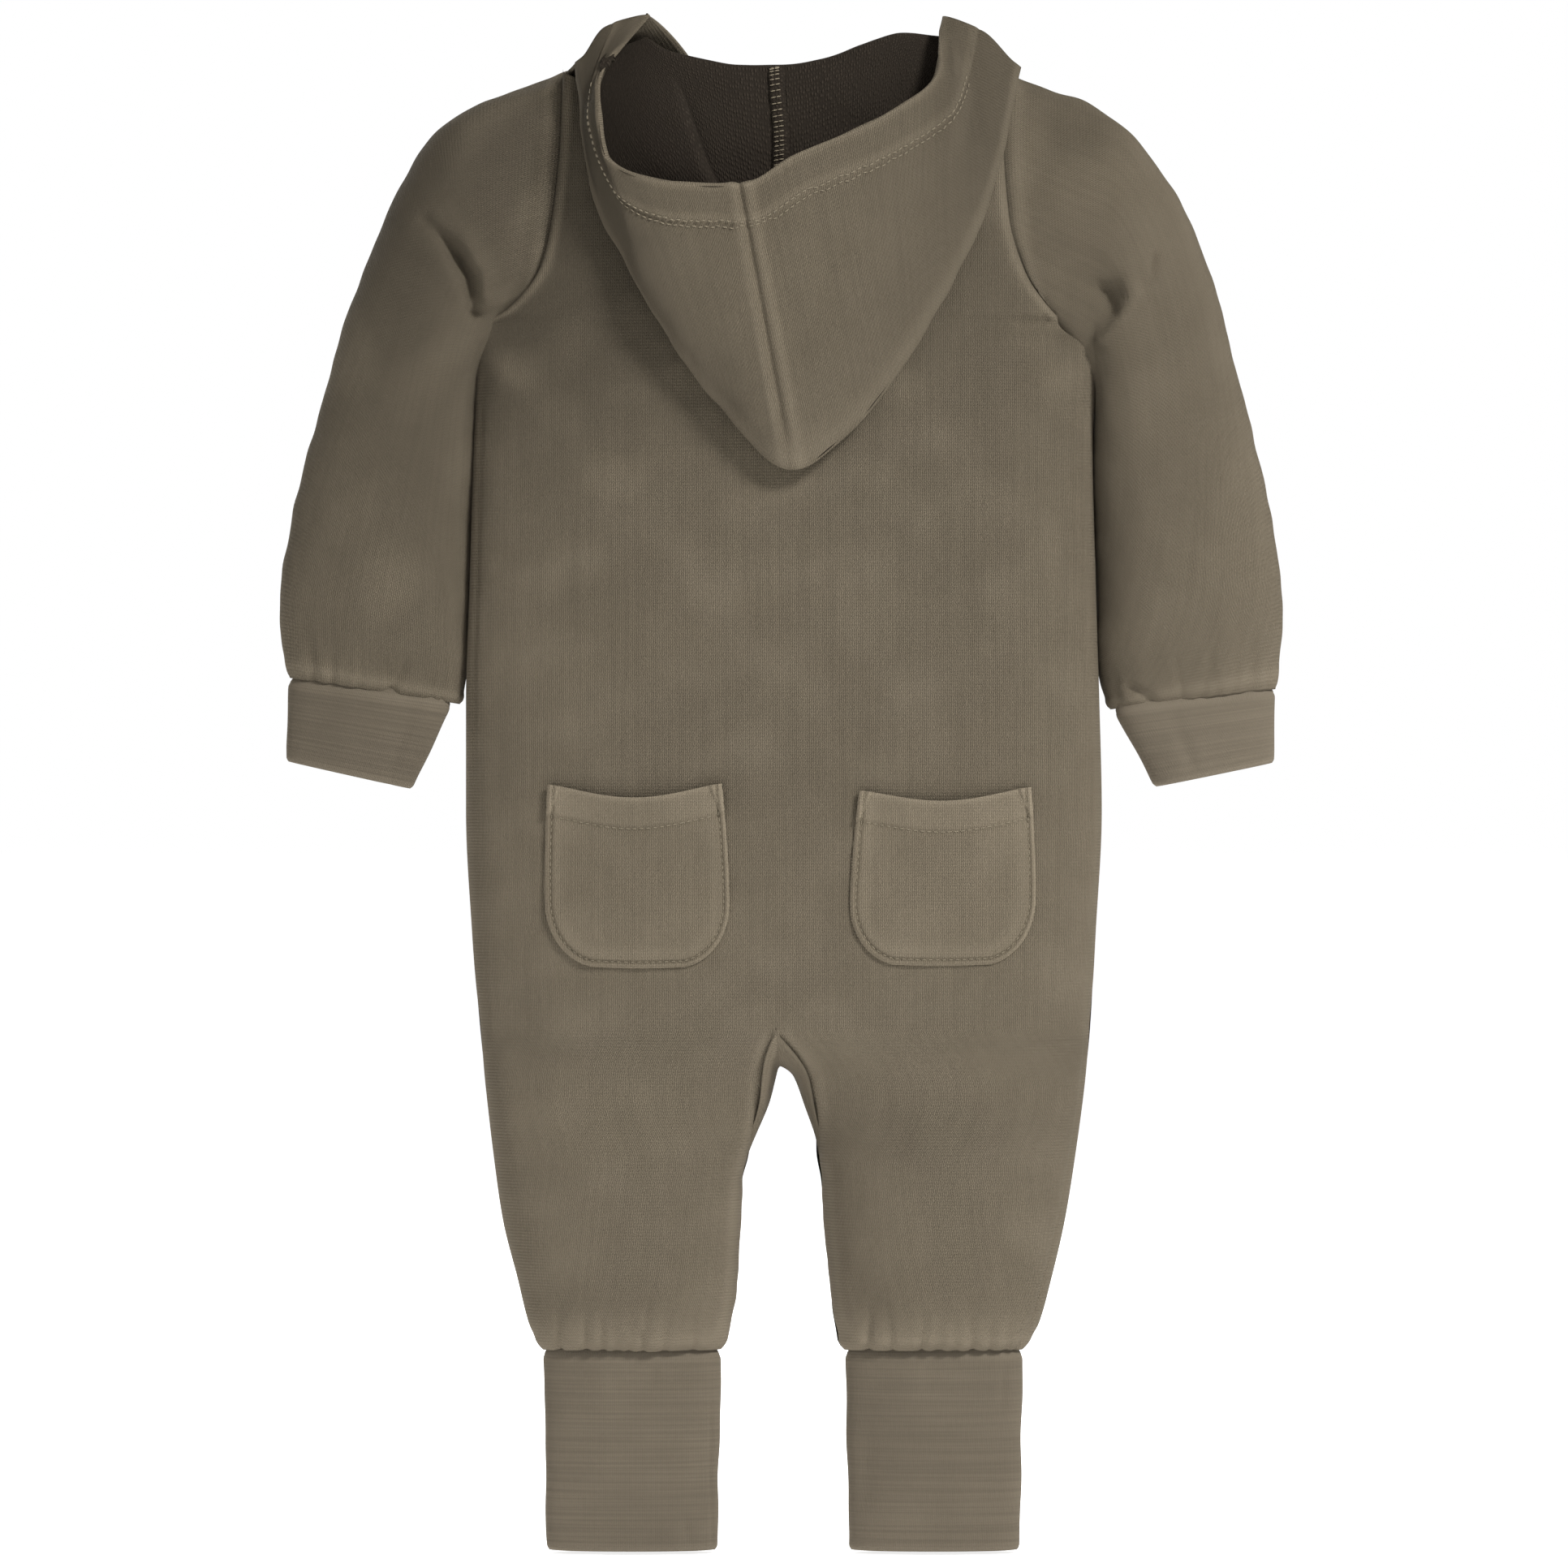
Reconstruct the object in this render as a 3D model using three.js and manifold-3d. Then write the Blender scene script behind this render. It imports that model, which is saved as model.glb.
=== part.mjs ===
// A baby's hooded one-piece: raglan sleeves, rib cuffs, two back pockets, a front zip.
// Millimetres, +Z up. The garment stands as it is worn: its back faces -Y and its zip +Y.
// The origin is on the floor plane of the ankle hems, midway between the side seams.
import * as THREE from 'three';
import { mergeVertices } from 'three/addons/utils/BufferGeometryUtils.js';
import Module from 'manifold-3d';

// ---- driving dimensions -------------------------------------------------------------
const CLOTH = 2;            // French terry with its seams and loops
const CUFF_CLOTH = 2.6;     // rib cuffs are double
const SEAM_GAP = 0.5;       // left free at each sewn seam
const CHEST_HALF = 125;     // half the flat chest width
const NECK_HALF = CHEST_HALF - 35;  // half the width between the shoulder ends
const BODY_DEPTH = 30;      // half the filled depth of the trunk
const HIP_Z = 212;          // height of the hip line, where the legs swing
const NECK_Z = 597;         // shoulder end of the raglan seams
const ZIP_TOP = 556;
const ZIP_BOTTOM = 232;
const ZIP_HALF = 5;         // half the opening between the two front edges
const TAPE_OUT = 12;        // half the width of both zip tapes
const ANKLE_TOP = 80;       // seam of the ankle cuffs
const ANKLE_DEPTH = 12.5;   // half the filled depth of the ankle cuffs
const ROUND = 2.3;          // exponent of the flattened cross-sections

// ---- cloth materials ----------------------------------------------------------------
const terry = new THREE.MeshStandardMaterial({ color: 0x6e6555, roughness: 0.95, metalness: 0 });
const terryBack = new THREE.MeshStandardMaterial({ color: 0x3c352c, roughness: 1, metalness: 0 });
const rib = new THREE.MeshStandardMaterial({ color: 0x746a5d, roughness: 0.95, metalness: 0 });
const tapeCloth = new THREE.MeshStandardMaterial({ color: 0x5a5346, roughness: 0.9, metalness: 0 });
const brass = new THREE.MeshStandardMaterial({ color: 0x8a7a5a, roughness: 0.4, metalness: 1 });
const label = new THREE.MeshStandardMaterial({ color: 0xe6e1d6, roughness: 0.8, metalness: 0 });

const garment = new THREE.Group();
garment.name = 'hooded_one_piece';

function add(name, geometry, material) {
  const mesh = new THREE.Mesh(geometry, material);
  mesh.name = name;
  garment.add(mesh);
  return mesh;
}

function point(x, y, z) {
  return new THREE.Vector3(x, y, z);
}

function spline(points) {
  const curve = new THREE.CatmullRomCurve3(points, false, 'centripetal');
  return (t) => curve.getPoint(Math.min(1, Math.max(0, t)));
}

// ---- bending flat cloth into shape ---------------------------------------------------
// Each surface is a function (u, v) -> Vector3 for its outer face.
function normalAt(surface, u, v) {
  const step = 0.004;
  const u0 = Math.max(0, u - step);
  const u1 = Math.min(1, u + step);
  const v0 = Math.max(0, v - step);
  const v1 = Math.min(1, v + step);
  const across = surface(u1, v).sub(surface(u0, v));
  const along = surface(u, v1).sub(surface(u, v0));
  return across.cross(along).normalize();
}

function wrappedNormal(surface, u, v) {
  const step = 0.004;
  const v0 = Math.max(0, v - step);
  const v1 = Math.min(1, v + step);
  const across = surface((u + step) % 1, v).sub(surface((u + 1 - step) % 1, v));
  const along = surface(u, v1).sub(surface(u, v0));
  return across.cross(along).normalize();
}

function welded(geometry) {
  geometry.deleteAttribute('normal');
  geometry.deleteAttribute('uv');
  const closed = mergeVertices(geometry, 1e-5);
  closed.computeVertexNormals();
  return closed;
}

// The same surface, run the other way across if its normal points against the hint.
function outward(surface, hint) {
  const agrees = normalAt(surface, 0.5, 0.5).dot(hint) > 0;
  return agrees ? surface : (u, v) => surface(1 - u, v);
}

const BACKWARD = point(0, -1, 0);
const FORWARD = point(0, 1, 0);

// A box of cloth, thin in Z, laid over the surface with its outer face on it.
function panel(face, hint, columns, rows, thickness = CLOTH) {
  const surface = outward(face, hint);
  const geometry = welded(new THREE.BoxGeometry(1, 1, 1, columns, rows, 1));
  const spots = geometry.attributes.position;
  for (let i = 0; i < spots.count; i += 1) {
    const u = spots.getX(i) + 0.5;
    const v = spots.getY(i) + 0.5;
    const depth = (spots.getZ(i) - 0.5) * thickness;
    const place = surface(u, v).addScaledVector(normalAt(surface, u, v), depth);
    spots.setXYZ(i, place.x, place.y, place.z);
  }
  geometry.computeVertexNormals();
  return geometry;
}

// A ring of cloth, turned on a lathe and then stretched over a tube's surface.
function tube(face, columns, rows, thickness = CLOTH) {
  const away = face(0.5, 0.5).sub(face(0, 0.5));
  const agrees = wrappedNormal(face, 0.5, 0.5).dot(away) > 0;
  const surface = agrees ? face : (u, v) => face((1 - u) % 1, v);
  const wall = [];
  for (let i = 0; i <= rows; i += 1) {
    wall.push(new THREE.Vector2(2, i / rows));
  }
  for (let i = rows; i >= 0; i -= 1) {
    wall.push(new THREE.Vector2(1, i / rows));
  }
  wall.push(wall[0].clone());
  const geometry = welded(new THREE.LatheGeometry(wall, columns));
  const spots = geometry.attributes.position;
  for (let i = 0; i < spots.count; i += 1) {
    const radius = Math.hypot(spots.getX(i), spots.getZ(i));
    const turn = Math.atan2(spots.getX(i), spots.getZ(i)) / (2 * Math.PI);
    const u = (turn + 1) % 1;
    const v = spots.getY(i);
    const normal = wrappedNormal(surface, u, v);
    const place = surface(u, v).addScaledVector(normal, (radius - 2) * thickness);
    spots.setXYZ(i, place.x, place.y, place.z);
  }
  geometry.computeVertexNormals();
  return geometry;
}

// Turns a mesh whose faces point inwards.
function facingOut(geometry) {
  const spots = geometry.attributes.position;
  const corners = geometry.index;
  const a = new THREE.Vector3();
  const b = new THREE.Vector3();
  const c = new THREE.Vector3();
  let volume = 0;
  for (let i = 0; i < corners.count; i += 3) {
    a.fromBufferAttribute(spots, corners.getX(i));
    b.fromBufferAttribute(spots, corners.getX(i + 1));
    c.fromBufferAttribute(spots, corners.getX(i + 2));
    volume += a.dot(b.cross(c));
  }
  if (volume < 0) {
    for (let i = 0; i < corners.count; i += 3) {
      const first = corners.getX(i);
      corners.setX(i, corners.getX(i + 2));
      corners.setX(i + 2, first);
    }
    geometry.computeVertexNormals();
  }
  return geometry;
}

// ---- trunk -----------------------------------------------------------------------------
// Stations from hip to neck: left edge, right edge, depth at the edge, depth at the middle.
const TRUNK = [
  { left: [-CHEST_HALF + 1.5, HIP_Z + 0.5], right: [CHEST_HALF, HIP_Z + 0.5], edge: 0, mid: 1 },
  { left: [-CHEST_HALF - 1.5, 250], right: [CHEST_HALF + 2, 250], edge: 0, mid: 1 },
  { left: [-CHEST_HALF - 4, 300], right: [CHEST_HALF + 4.5, 300], edge: 0, mid: 1 },
  { left: [-CHEST_HALF - 4, 345], right: [CHEST_HALF + 3.5, 345], edge: 0, mid: 1 },
  { left: [-CHEST_HALF - 2.5, 395], right: [CHEST_HALF + 2, 395], edge: 0, mid: 1 },
  { left: [-CHEST_HALF - 1, 450], right: [CHEST_HALF + 1, 450], edge: 0, mid: 1 },
  { left: [-CHEST_HALF, 482], right: [CHEST_HALF + 2.5, 474], edge: 0, mid: 1 },
  { left: [-CHEST_HALF + 0.6, 496.5], right: [CHEST_HALF + 4, 488.5], edge: 0.05, mid: 1 },
  { left: [-CHEST_HALF + 10, 501.5], right: [CHEST_HALF - 6.5, 495], edge: 0.4, mid: 1 },
  { left: [-CHEST_HALF + 18.5, 509], right: [CHEST_HALF - 17, 504.5], edge: 0.57, mid: 0.99 },
  { left: [-CHEST_HALF + 26, 520.5], right: [CHEST_HALF - 26.5, 518.5], edge: 0.67, mid: 0.98 },
  { left: [-CHEST_HALF + 31, 541.5], right: [CHEST_HALF - 33, 541], edge: 0.72, mid: 0.95 },
  { left: [-CHEST_HALF + 34, 570], right: [CHEST_HALF - 35, 570], edge: 0.67, mid: 0.88 },
  { left: [-NECK_HALF, NECK_Z], right: [NECK_HALF + 1, NECK_Z], edge: 0.55, mid: 0.7 },
];
const ARMPIT = 7;           // station of the armpit in TRUNK

const leftEdge = spline(TRUNK.map((s) => point(s.left[0], s.edge * BODY_DEPTH, s.left[1])));
const rightEdge = spline(TRUNK.map((s) => point(s.right[0], s.edge * BODY_DEPTH, s.right[1])));
const middleDepth = spline(TRUNK.map((s) => point(s.mid * BODY_DEPTH, 0, 0)));

// Across the trunk from w = -1 at the left edge to w = 1 at the right edge.
function trunkPoint(w, v, side, midDepth, dip) {
  const left = leftEdge(v);
  const right = rightEdge(v);
  const blend = (w + 1) / 2;
  const swell = Math.pow(Math.max(0, 1 - Math.pow(Math.abs(w), ROUND)), 1 / ROUND);
  const edge = left.y + (right.y - left.y) * blend;
  const lowered = dip * swell * Math.max(0, (v - 0.8) / 0.2);
  const x = left.x + (right.x - left.x) * blend;
  const z = left.z + (right.z - left.z) * blend - lowered;
  return point(x, side * (edge + (midDepth - edge) * swell), z);
}

// Edge points stop short of the seam; the cosine spacing follows the rounded sides.
function across(from, to, u) {
  const turn = from + (to - from) * u;
  const cosine = Math.cos(turn);
  return -Math.sign(cosine) * Math.pow(Math.abs(cosine), 2 / ROUND);
}

const SIDE_TURN = 0.035;

function makeTrunkBack() {
  const surface = (u, v) => {
    const w = across(SIDE_TURN, Math.PI - SIDE_TURN, u);
    return trunkPoint(w, v, -1, middleDepth(v).x, 9);
  };
  return facingOut(panel(surface, BACKWARD, 16, 24));
}

// The front reaches from a side seam to its own edge of the zip.
function makeTrunkFront(hand) {
  const surface = (u, v) => {
    const left = leftEdge(v);
    const right = rightEdge(v);
    const centre = (left.x + right.x) / 2;
    const half = (right.x - left.x) / 2;
    const zipEdge = (hand * ZIP_HALF - centre) / half;
    const inner = Math.acos(-Math.sign(zipEdge) * Math.pow(Math.abs(zipEdge), ROUND / 2));
    const outer = hand < 0 ? SIDE_TURN : Math.PI - SIDE_TURN;
    const w = across(outer, inner, u);
    return trunkPoint(w, v, 1, BODY_DEPTH, 38);
  };
  return facingOut(panel(surface, FORWARD, 8, 24));
}

// ---- sleeves and cuffs --------------------------------------------------------------------
// A ring between an inner and an outer edge point in the XZ plane.
function ring(inner, outer, depth) {
  return (t) => {
    const turn = 2 * Math.PI * t;
    const c = Math.cos(turn);
    const s = Math.sin(turn);
    const along = Math.sign(c) * Math.pow(Math.abs(c), 2 / ROUND);
    const out = -Math.sign(s) * Math.pow(Math.abs(s), 2 / ROUND);
    const x = (inner[0] + outer[0]) / 2 + (inner[0] - outer[0]) / 2 * along;
    const z = (inner[1] + outer[1]) / 2 + (inner[1] - outer[1]) / 2 * along;
    return point(x, depth * out, z);
  };
}

// The raglan seam as a closed loop: armpit, up the back, over the neck end, down the front.
function raglanLoop(edge, hand) {
  const out = hand * 3 * SEAM_GAP;
  const armpitGap = 8 * SEAM_GAP;
  const easing = 3;         // stations over which the crowded armpit opens a wider gap
  const back = [];
  for (let k = ARMPIT; k < TRUNK.length; k += 1) {
    const p = edge(k / (TRUNK.length - 1));
    const extra = Math.max(0, 1 - (k - ARMPIT) / easing) * armpitGap;
    back.push(point(p.x + out + hand * extra, -p.y, p.z + 2 * SEAM_GAP + extra));
  }
  const front = back.slice(1).reverse().map((p) => point(p.x, -p.y, p.z));
  const top = back[back.length - 1];
  const loop = [...back, point(top.x + out, 0, top.z + 2), ...front];
  const curve = new THREE.CatmullRomCurve3(loop, true, 'centripetal');
  return (t) => curve.getPoint(t);
}

function sleeveSurface(loops) {
  return (u, v) => {
    const path = new THREE.CatmullRomCurve3(loops.map((loop) => loop(u)), false, 'centripetal');
    return path.getPoint(v);
  };
}

const SLEEVES = {
  left: [
    ring([-CHEST_HALF - 1.4, 474], [-CHEST_HALF - 5, 584], BODY_DEPTH - 9),
    ring([-CHEST_HALF - 2.8, 448], [-CHEST_HALF - 30, 556], BODY_DEPTH - 8),
    ring([-CHEST_HALF - 3.8, 412], [-CHEST_HALF - 50, 505], BODY_DEPTH - 9),
    ring([-CHEST_HALF - 5.2, 382], [-CHEST_HALF - 68, 445], BODY_DEPTH - 10),
    ring([-CHEST_HALF - 5.8, 360], [-CHEST_HALF - 79, 385], BODY_DEPTH - 12),
    ring([-CHEST_HALF - 7.5, 343.5], [-CHEST_HALF - 77, 354], 11),
  ],
  right: [
    ring([CHEST_HALF + 4.4, 466], [CHEST_HALF + 3, 585.5], BODY_DEPTH - 9),
    ring([CHEST_HALF + 2.9, 442], [CHEST_HALF + 31, 557], BODY_DEPTH - 8),
    ring([CHEST_HALF + 3.2, 410], [CHEST_HALF + 50, 513], BODY_DEPTH - 9),
    ring([CHEST_HALF + 4.2, 380], [CHEST_HALF + 67, 447], BODY_DEPTH - 10),
    ring([CHEST_HALF + 5, 357], [CHEST_HALF + 77, 385], BODY_DEPTH - 12),
    ring([CHEST_HALF + 7.5, 341], [CHEST_HALF + 76, 349.5], 11),
  ],
};
const WRISTS = {
  left: [
    ring([-CHEST_HALF - 11.5, 342], [-CHEST_HALF - 75.5, 351.5], 10),
    ring([-CHEST_HALF - 26, 308.8], [-CHEST_HALF - 77, 320.2], 9),
  ],
  right: [
    ring([CHEST_HALF + 11.8, 339.4], [CHEST_HALF + 74.5, 347.6], 10),
    ring([CHEST_HALF + 26, 309.6], [CHEST_HALF + 74.5, 319.6], 9),
  ],
};

function makeSleeve(side) {
  const hand = side === 'left' ? -1 : 1;
  const edge = side === 'left' ? leftEdge : rightEdge;
  const loops = [raglanLoop(edge, hand), ...SLEEVES[side]];
  return facingOut(tube(sleeveSurface(loops), 24, 14));
}

function makeWristCuff(side) {
  const [top, bottom] = WRISTS[side];
  const lowered = (loop) => (t) => loop(t).add(point(0, 0, -SEAM_GAP));
  const surface = sleeveSurface([lowered(top), bottom]);
  return facingOut(tube(surface, 24, 3, CUFF_CLOTH));
}

// ---- legs and ankle cuffs -------------------------------------------------------------------
// Stations down a leg: outer x, inner x, height, depth.
const LEGS = {
  left: [
    [-CHEST_HALF + 1.5, -12, HIP_Z - SEAM_GAP, BODY_DEPTH - 2],
    [-CHEST_HALF + 4, -12, 188, BODY_DEPTH - 2],
    [-CHEST_HALF + 7, -12.5, 162, BODY_DEPTH - 3],
    [-CHEST_HALF + 11, -17, 134, BODY_DEPTH - 4],
    [-CHEST_HALF + 16, -18.5, 107, BODY_DEPTH - 7],
    [-CHEST_HALF + 21.5, -21.5, 89, BODY_DEPTH - 11],
    [-CHEST_HALF + 26.5, -23.8, ANKLE_TOP + SEAM_GAP, ANKLE_DEPTH + 0.5],
  ],
  right: [
    [CHEST_HALF, 13.5, HIP_Z - SEAM_GAP, BODY_DEPTH - 2],
    [CHEST_HALF - 2.5, 13.5, 188, BODY_DEPTH - 2],
    [CHEST_HALF - 6, 13.8, 162, BODY_DEPTH - 3],
    [CHEST_HALF - 10.5, 16.5, 134, BODY_DEPTH - 4],
    [CHEST_HALF - 16, 18.8, 107, BODY_DEPTH - 7],
    [CHEST_HALF - 21, 21.5, 89, BODY_DEPTH - 11],
    [CHEST_HALF - 27, 23.4, ANKLE_TOP + SEAM_GAP, ANKLE_DEPTH + 0.5],
  ],
};

function makeLegHalf(side, facing) {
  const stations = LEGS[side];
  const outerPath = spline(stations.map((s) => point(s[0], s[3], s[2])));
  const innerPath = spline(stations.map((s) => point(s[1], s[3], s[2])));
  const surface = (u, v) => {
    const w = across(SIDE_TURN, Math.PI - SIDE_TURN, u);
    const outer = outerPath(v);
    const inner = innerPath(v);
    const swell = Math.pow(Math.max(0, 1 - Math.pow(Math.abs(w), ROUND)), 1 / ROUND);
    const x = (outer.x + inner.x) / 2 + (inner.x - outer.x) / 2 * w;
    return point(x, facing * outer.y * swell, outer.z);
  };
  return facingOut(panel(surface, facing < 0 ? BACKWARD : FORWARD, 12, 12));
}

function makeAnkleCuff(side) {
  const hand = side === 'left' ? -1 : 1;
  const top = ANKLE_TOP - SEAM_GAP;
  const outer = hand * (CHEST_HALF - 29);
  const surface = sleeveSurface([
    ring([hand * 24.5, top], [outer + hand * 1.5, top], ANKLE_DEPTH),
    ring([hand * 26.7, 50], [outer, 50], ANKLE_DEPTH - 0.5),
    ring([hand * 26.7, 25], [outer, 25], ANKLE_DEPTH - 0.5),
    ring([hand * 26.7, 0], [outer, 0], ANKLE_DEPTH - 0.5),
  ]);
  const geometry = facingOut(tube(surface, 24, 4, CUFF_CLOTH));
  const spots = geometry.attributes.position;
  for (let i = 0; i < spots.count; i += 1) {
    if (spots.getZ(i) < 1) {
      spots.setZ(i, 0);
    }
  }
  return geometry;
}

// The seat gusset: an arch of doubled cloth that joins both legs at the crotch.
function makeCrotchGusset() {
  const outline = new THREE.Shape();
  outline.moveTo(-11.3, HIP_Z - 44);
  outline.lineTo(-11.3, HIP_Z - 9);
  outline.quadraticCurveTo(-10, HIP_Z - 1.5, 0, HIP_Z - 1.5);
  outline.quadraticCurveTo(12, HIP_Z - 1.5, 12.8, HIP_Z - 11);
  outline.lineTo(12.8, HIP_Z - 47);
  outline.lineTo(10.2, HIP_Z - 47);
  outline.quadraticCurveTo(4, HIP_Z - 26, -2.6, HIP_Z - 14.5);
  outline.quadraticCurveTo(-7, HIP_Z - 26, -8.7, HIP_Z - 44);
  outline.closePath();
  const depth = 24;
  const options = { depth, bevelEnabled: false, curveSegments: 5 };
  const geometry = welded(new THREE.ExtrudeGeometry(outline, options));
  geometry.rotateX(Math.PI / 2);
  geometry.translate(0, depth / 2, 0);
  return geometry;
}

// ---- hood ---------------------------------------------------------------------------------------
// The hood hangs down the back as an open pocket. Each row runs from the left shoulder, past the
// centre seam in the middle, to the right shoulder.
const HOOD_FOLD = [
  [-84, -24, 602], [-78.5, -31, 554], [-58.7, -35, 512], [-27, -37, 464], [4.3, -38, 437],
  [31.4, -37, 456.5], [61, -35, 499.5], [85, -31, 550.5], [96, -24, 600],
];
const HOOD_RIM = [
  [-54.5, -22, 620.5], [-72.5, -38, 591.5], [-70, -47, 563.5], [-42, -51, 551.5], [-17.5, -52, 551],
  [5.6, -51, 563], [39, -47, 578], [61.5, -38, 595.5], [65, -22, 619.5],
];
const HOOD_TOP = [
  [-56, -15, 612], [-47, -19, 606], [-31, -20, 602], [-18, -20, 600], [-2.6, -20, 600],
  [15, -20, 602.5], [31.5, -20, 608], [48, -18, 613], [63, -15, 612],
];
const HEM_WIDTH = 17;

// The hood's points are drawn for this neck, and widen, deepen and rise with the garment's own.
const DRAWN_NECK = { half: 90, depth: 30, top: 597 };

function onNeck(x, y, z) {
  const wider = NECK_HALF / DRAWN_NECK.half;
  const deeper = BODY_DEPTH / DRAWN_NECK.depth;
  return point(x * wider, y * deeper, z + NECK_Z - DRAWN_NECK.top);
}

function between(a, b, share, y) {
  const depth = y * BODY_DEPTH / DRAWN_NECK.depth;
  return point(a.x + (b.x - a.x) * share, depth, a.z + (b.z - a.z) * share);
}

// The cloth's path at one place across the hood: neck, top, inner layer, fold, outer layer, hem.
function hoodRows() {
  const rows = { neck: [], top: [], behind: [], inner: [], fold: [], outer: [], hem: [], rim: [] };
  HOOD_FOLD.forEach((spot, k) => {
    const fold = onNeck(...spot);
    const rim = onNeck(...HOOD_RIM[k]);
    const top = onNeck(...HOOD_TOP[k]);
    const side = Math.pow(Math.abs(k - 4) / 4, 2);
    const outer = between(fold, rim, 0.5, -48 + 22 * side);
    const toHem = outer.clone().sub(rim).normalize().multiplyScalar(HEM_WIDTH * (1 - 0.4 * side));
    rows.neck.push(point(top.x, top.y + 4, top.z - 6 + 2 * side));
    rows.top.push(top);
    rows.behind.push(between(top, fold, 0.14, -27 + 10 * side));
    rows.inner.push(between(top, fold, 0.45, -32.5 + 14 * side));
    rows.fold.push(fold);
    rows.outer.push(outer);
    rows.hem.push(rim.clone().add(toHem));
    rows.rim.push(rim);
  });
  return Object.fromEntries(Object.entries(rows).map(([name, spots]) => [name, spline(spots)]));
}

const HOOD = hoodRows();

function hoodSurface(names, from, to) {
  return (u, v) => {
    const place = from + (to - from) * u;
    const path = names.map((name) => HOOD[name](place));
    return new THREE.CatmullRomCurve3(path, false, 'centripetal').getPoint(v);
  };
}

const HOOD_PATH = ['neck', 'top', 'behind', 'inner', 'fold', 'outer', 'hem'];

function makeHoodPanel(from, to) {
  return facingOut(panel(hoodSurface(HOOD_PATH, from, to), FORWARD, 9, 22));
}

function makeHoodHem(from, to) {
  const strip = hoodSurface(['hem', 'rim'], from, to);
  return facingOut(panel((u, v) => strip(u, 0.14 + 0.86 * v), BACKWARD, 9, 2, CLOTH * 1.3));
}

// The overlocked seam allowance stands inside the pocket, along the middle of its inner layer.
function makeHoodSeam() {
  const cloth = hoodSurface(HOOD_PATH, 0, 1);
  const surface = (u, v) => {
    const place = 0.5 + (u - 0.5) * 0.035;
    const along = 0.2 + 0.36 * v;
    return cloth(place, along).addScaledVector(normalAt(cloth, place, along), -CLOTH - SEAM_GAP);
  };
  return facingOut(panel(surface, FORWARD, 1, 12, 1.2));
}

// The front of the hood stands round the neck, from the shoulder to the top of the zip.
function makeHoodFront(hand) {
  const neckline = (w) => trunkPoint(hand * w, 1, 1, BODY_DEPTH, 38).add(point(0, 0, 1.5));
  const low = [onNeck(hand * 84.5, -3, 602), onNeck(hand * 84, 12, 600)];
  [0.87, 0.76, 0.5, 0.08].forEach((w) => low.push(neckline(w)));
  const high = [
    onNeck(hand * 70, -2, 614), onNeck(hand * 70, 13, 611), onNeck(hand * 68, 29, 597),
    onNeck(hand * 60, 33, 589), onNeck(hand * 40, 37, 580), onNeck(hand * 7, 38, 574),
  ];
  const lowEdge = spline(low);
  const highEdge = spline(high);
  const surface = (u, v) => lowEdge(u).lerp(highEdge(u), v);
  return facingOut(panel(surface, FORWARD, 10, 3));
}

// ---- back pockets -----------------------------------------------------------------------------
const POCKET = { half: 37.5, top: 310, bottom: 236.5 };

function makePocket(centre) {
  const surface = (u, v) => {
    const curve = Math.max(0, (v - 0.55) / 0.45);
    const half = POCKET.half * (1 - 0.5 * Math.pow(curve, 2.6));
    const x = centre + half * (2 * u - 1);
    const z = POCKET.top + (POCKET.bottom - POCKET.top) * v;
    const w = x / (CHEST_HALF + 4);
    const swell = Math.pow(1 - Math.pow(Math.abs(w), ROUND), 1 / ROUND);
    return point(x, -BODY_DEPTH * swell - SEAM_GAP - CLOTH - 0.6, z);
  };
  return facingOut(panel(surface, BACKWARD, 8, 8));
}

// ---- zip -----------------------------------------------------------------------------------------
const CHAIN_HALF = 1.8;
const TAPE_FACE = BODY_DEPTH - CLOTH - 0.7;
const TOOTH_PITCH = 8;

function makeZipTape(hand) {
  const width = TAPE_OUT - CHAIN_HALF - SEAM_GAP;
  const geometry = welded(new THREE.BoxGeometry(width, 1, ZIP_TOP - ZIP_BOTTOM));
  const middle = CHAIN_HALF + SEAM_GAP * 2 + width / 2;
  geometry.translate(hand * middle, TAPE_FACE - 0.5, (ZIP_TOP + ZIP_BOTTOM) / 2);
  return geometry;
}

function makeZipChain() {
  const outline = new THREE.Shape();
  const low = ZIP_BOTTOM + 4;
  const count = Math.floor((ZIP_TOP - 1 - low) / TOOTH_PITCH);
  const notch = 0.5;
  outline.moveTo(CHAIN_HALF - notch, low);
  for (let k = 0; k < count; k += 1) {
    const z = low + k * TOOTH_PITCH;
    outline.lineTo(CHAIN_HALF - notch, z + TOOTH_PITCH * 0.5);
    outline.lineTo(CHAIN_HALF, z + TOOTH_PITCH * 0.5);
    outline.lineTo(CHAIN_HALF, z + TOOTH_PITCH);
    outline.lineTo(CHAIN_HALF - notch, z + TOOTH_PITCH);
  }
  for (let k = count - 1; k >= 0; k -= 1) {
    const z = low + k * TOOTH_PITCH;
    outline.lineTo(-CHAIN_HALF + notch, z + TOOTH_PITCH);
    outline.lineTo(-CHAIN_HALF, z + TOOTH_PITCH);
    outline.lineTo(-CHAIN_HALF, z + TOOTH_PITCH * 0.5);
    outline.lineTo(-CHAIN_HALF + notch, z + TOOTH_PITCH * 0.5);
  }
  outline.lineTo(-CHAIN_HALF + notch, low);
  outline.closePath();
  const geometry = welded(new THREE.ExtrudeGeometry(outline, { depth: 2.2, bevelEnabled: false }));
  geometry.rotateX(Math.PI / 2);
  geometry.translate(0, TAPE_FACE + 1.7, 0);
  return geometry;
}

const SLIDER = { low: ZIP_TOP - 16, high: ZIP_TOP - 3, face: TAPE_FACE + 4.2, half: 4.2 };
const CROWN_Z = (SLIDER.low + SLIDER.high) / 2 + 1;

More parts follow.
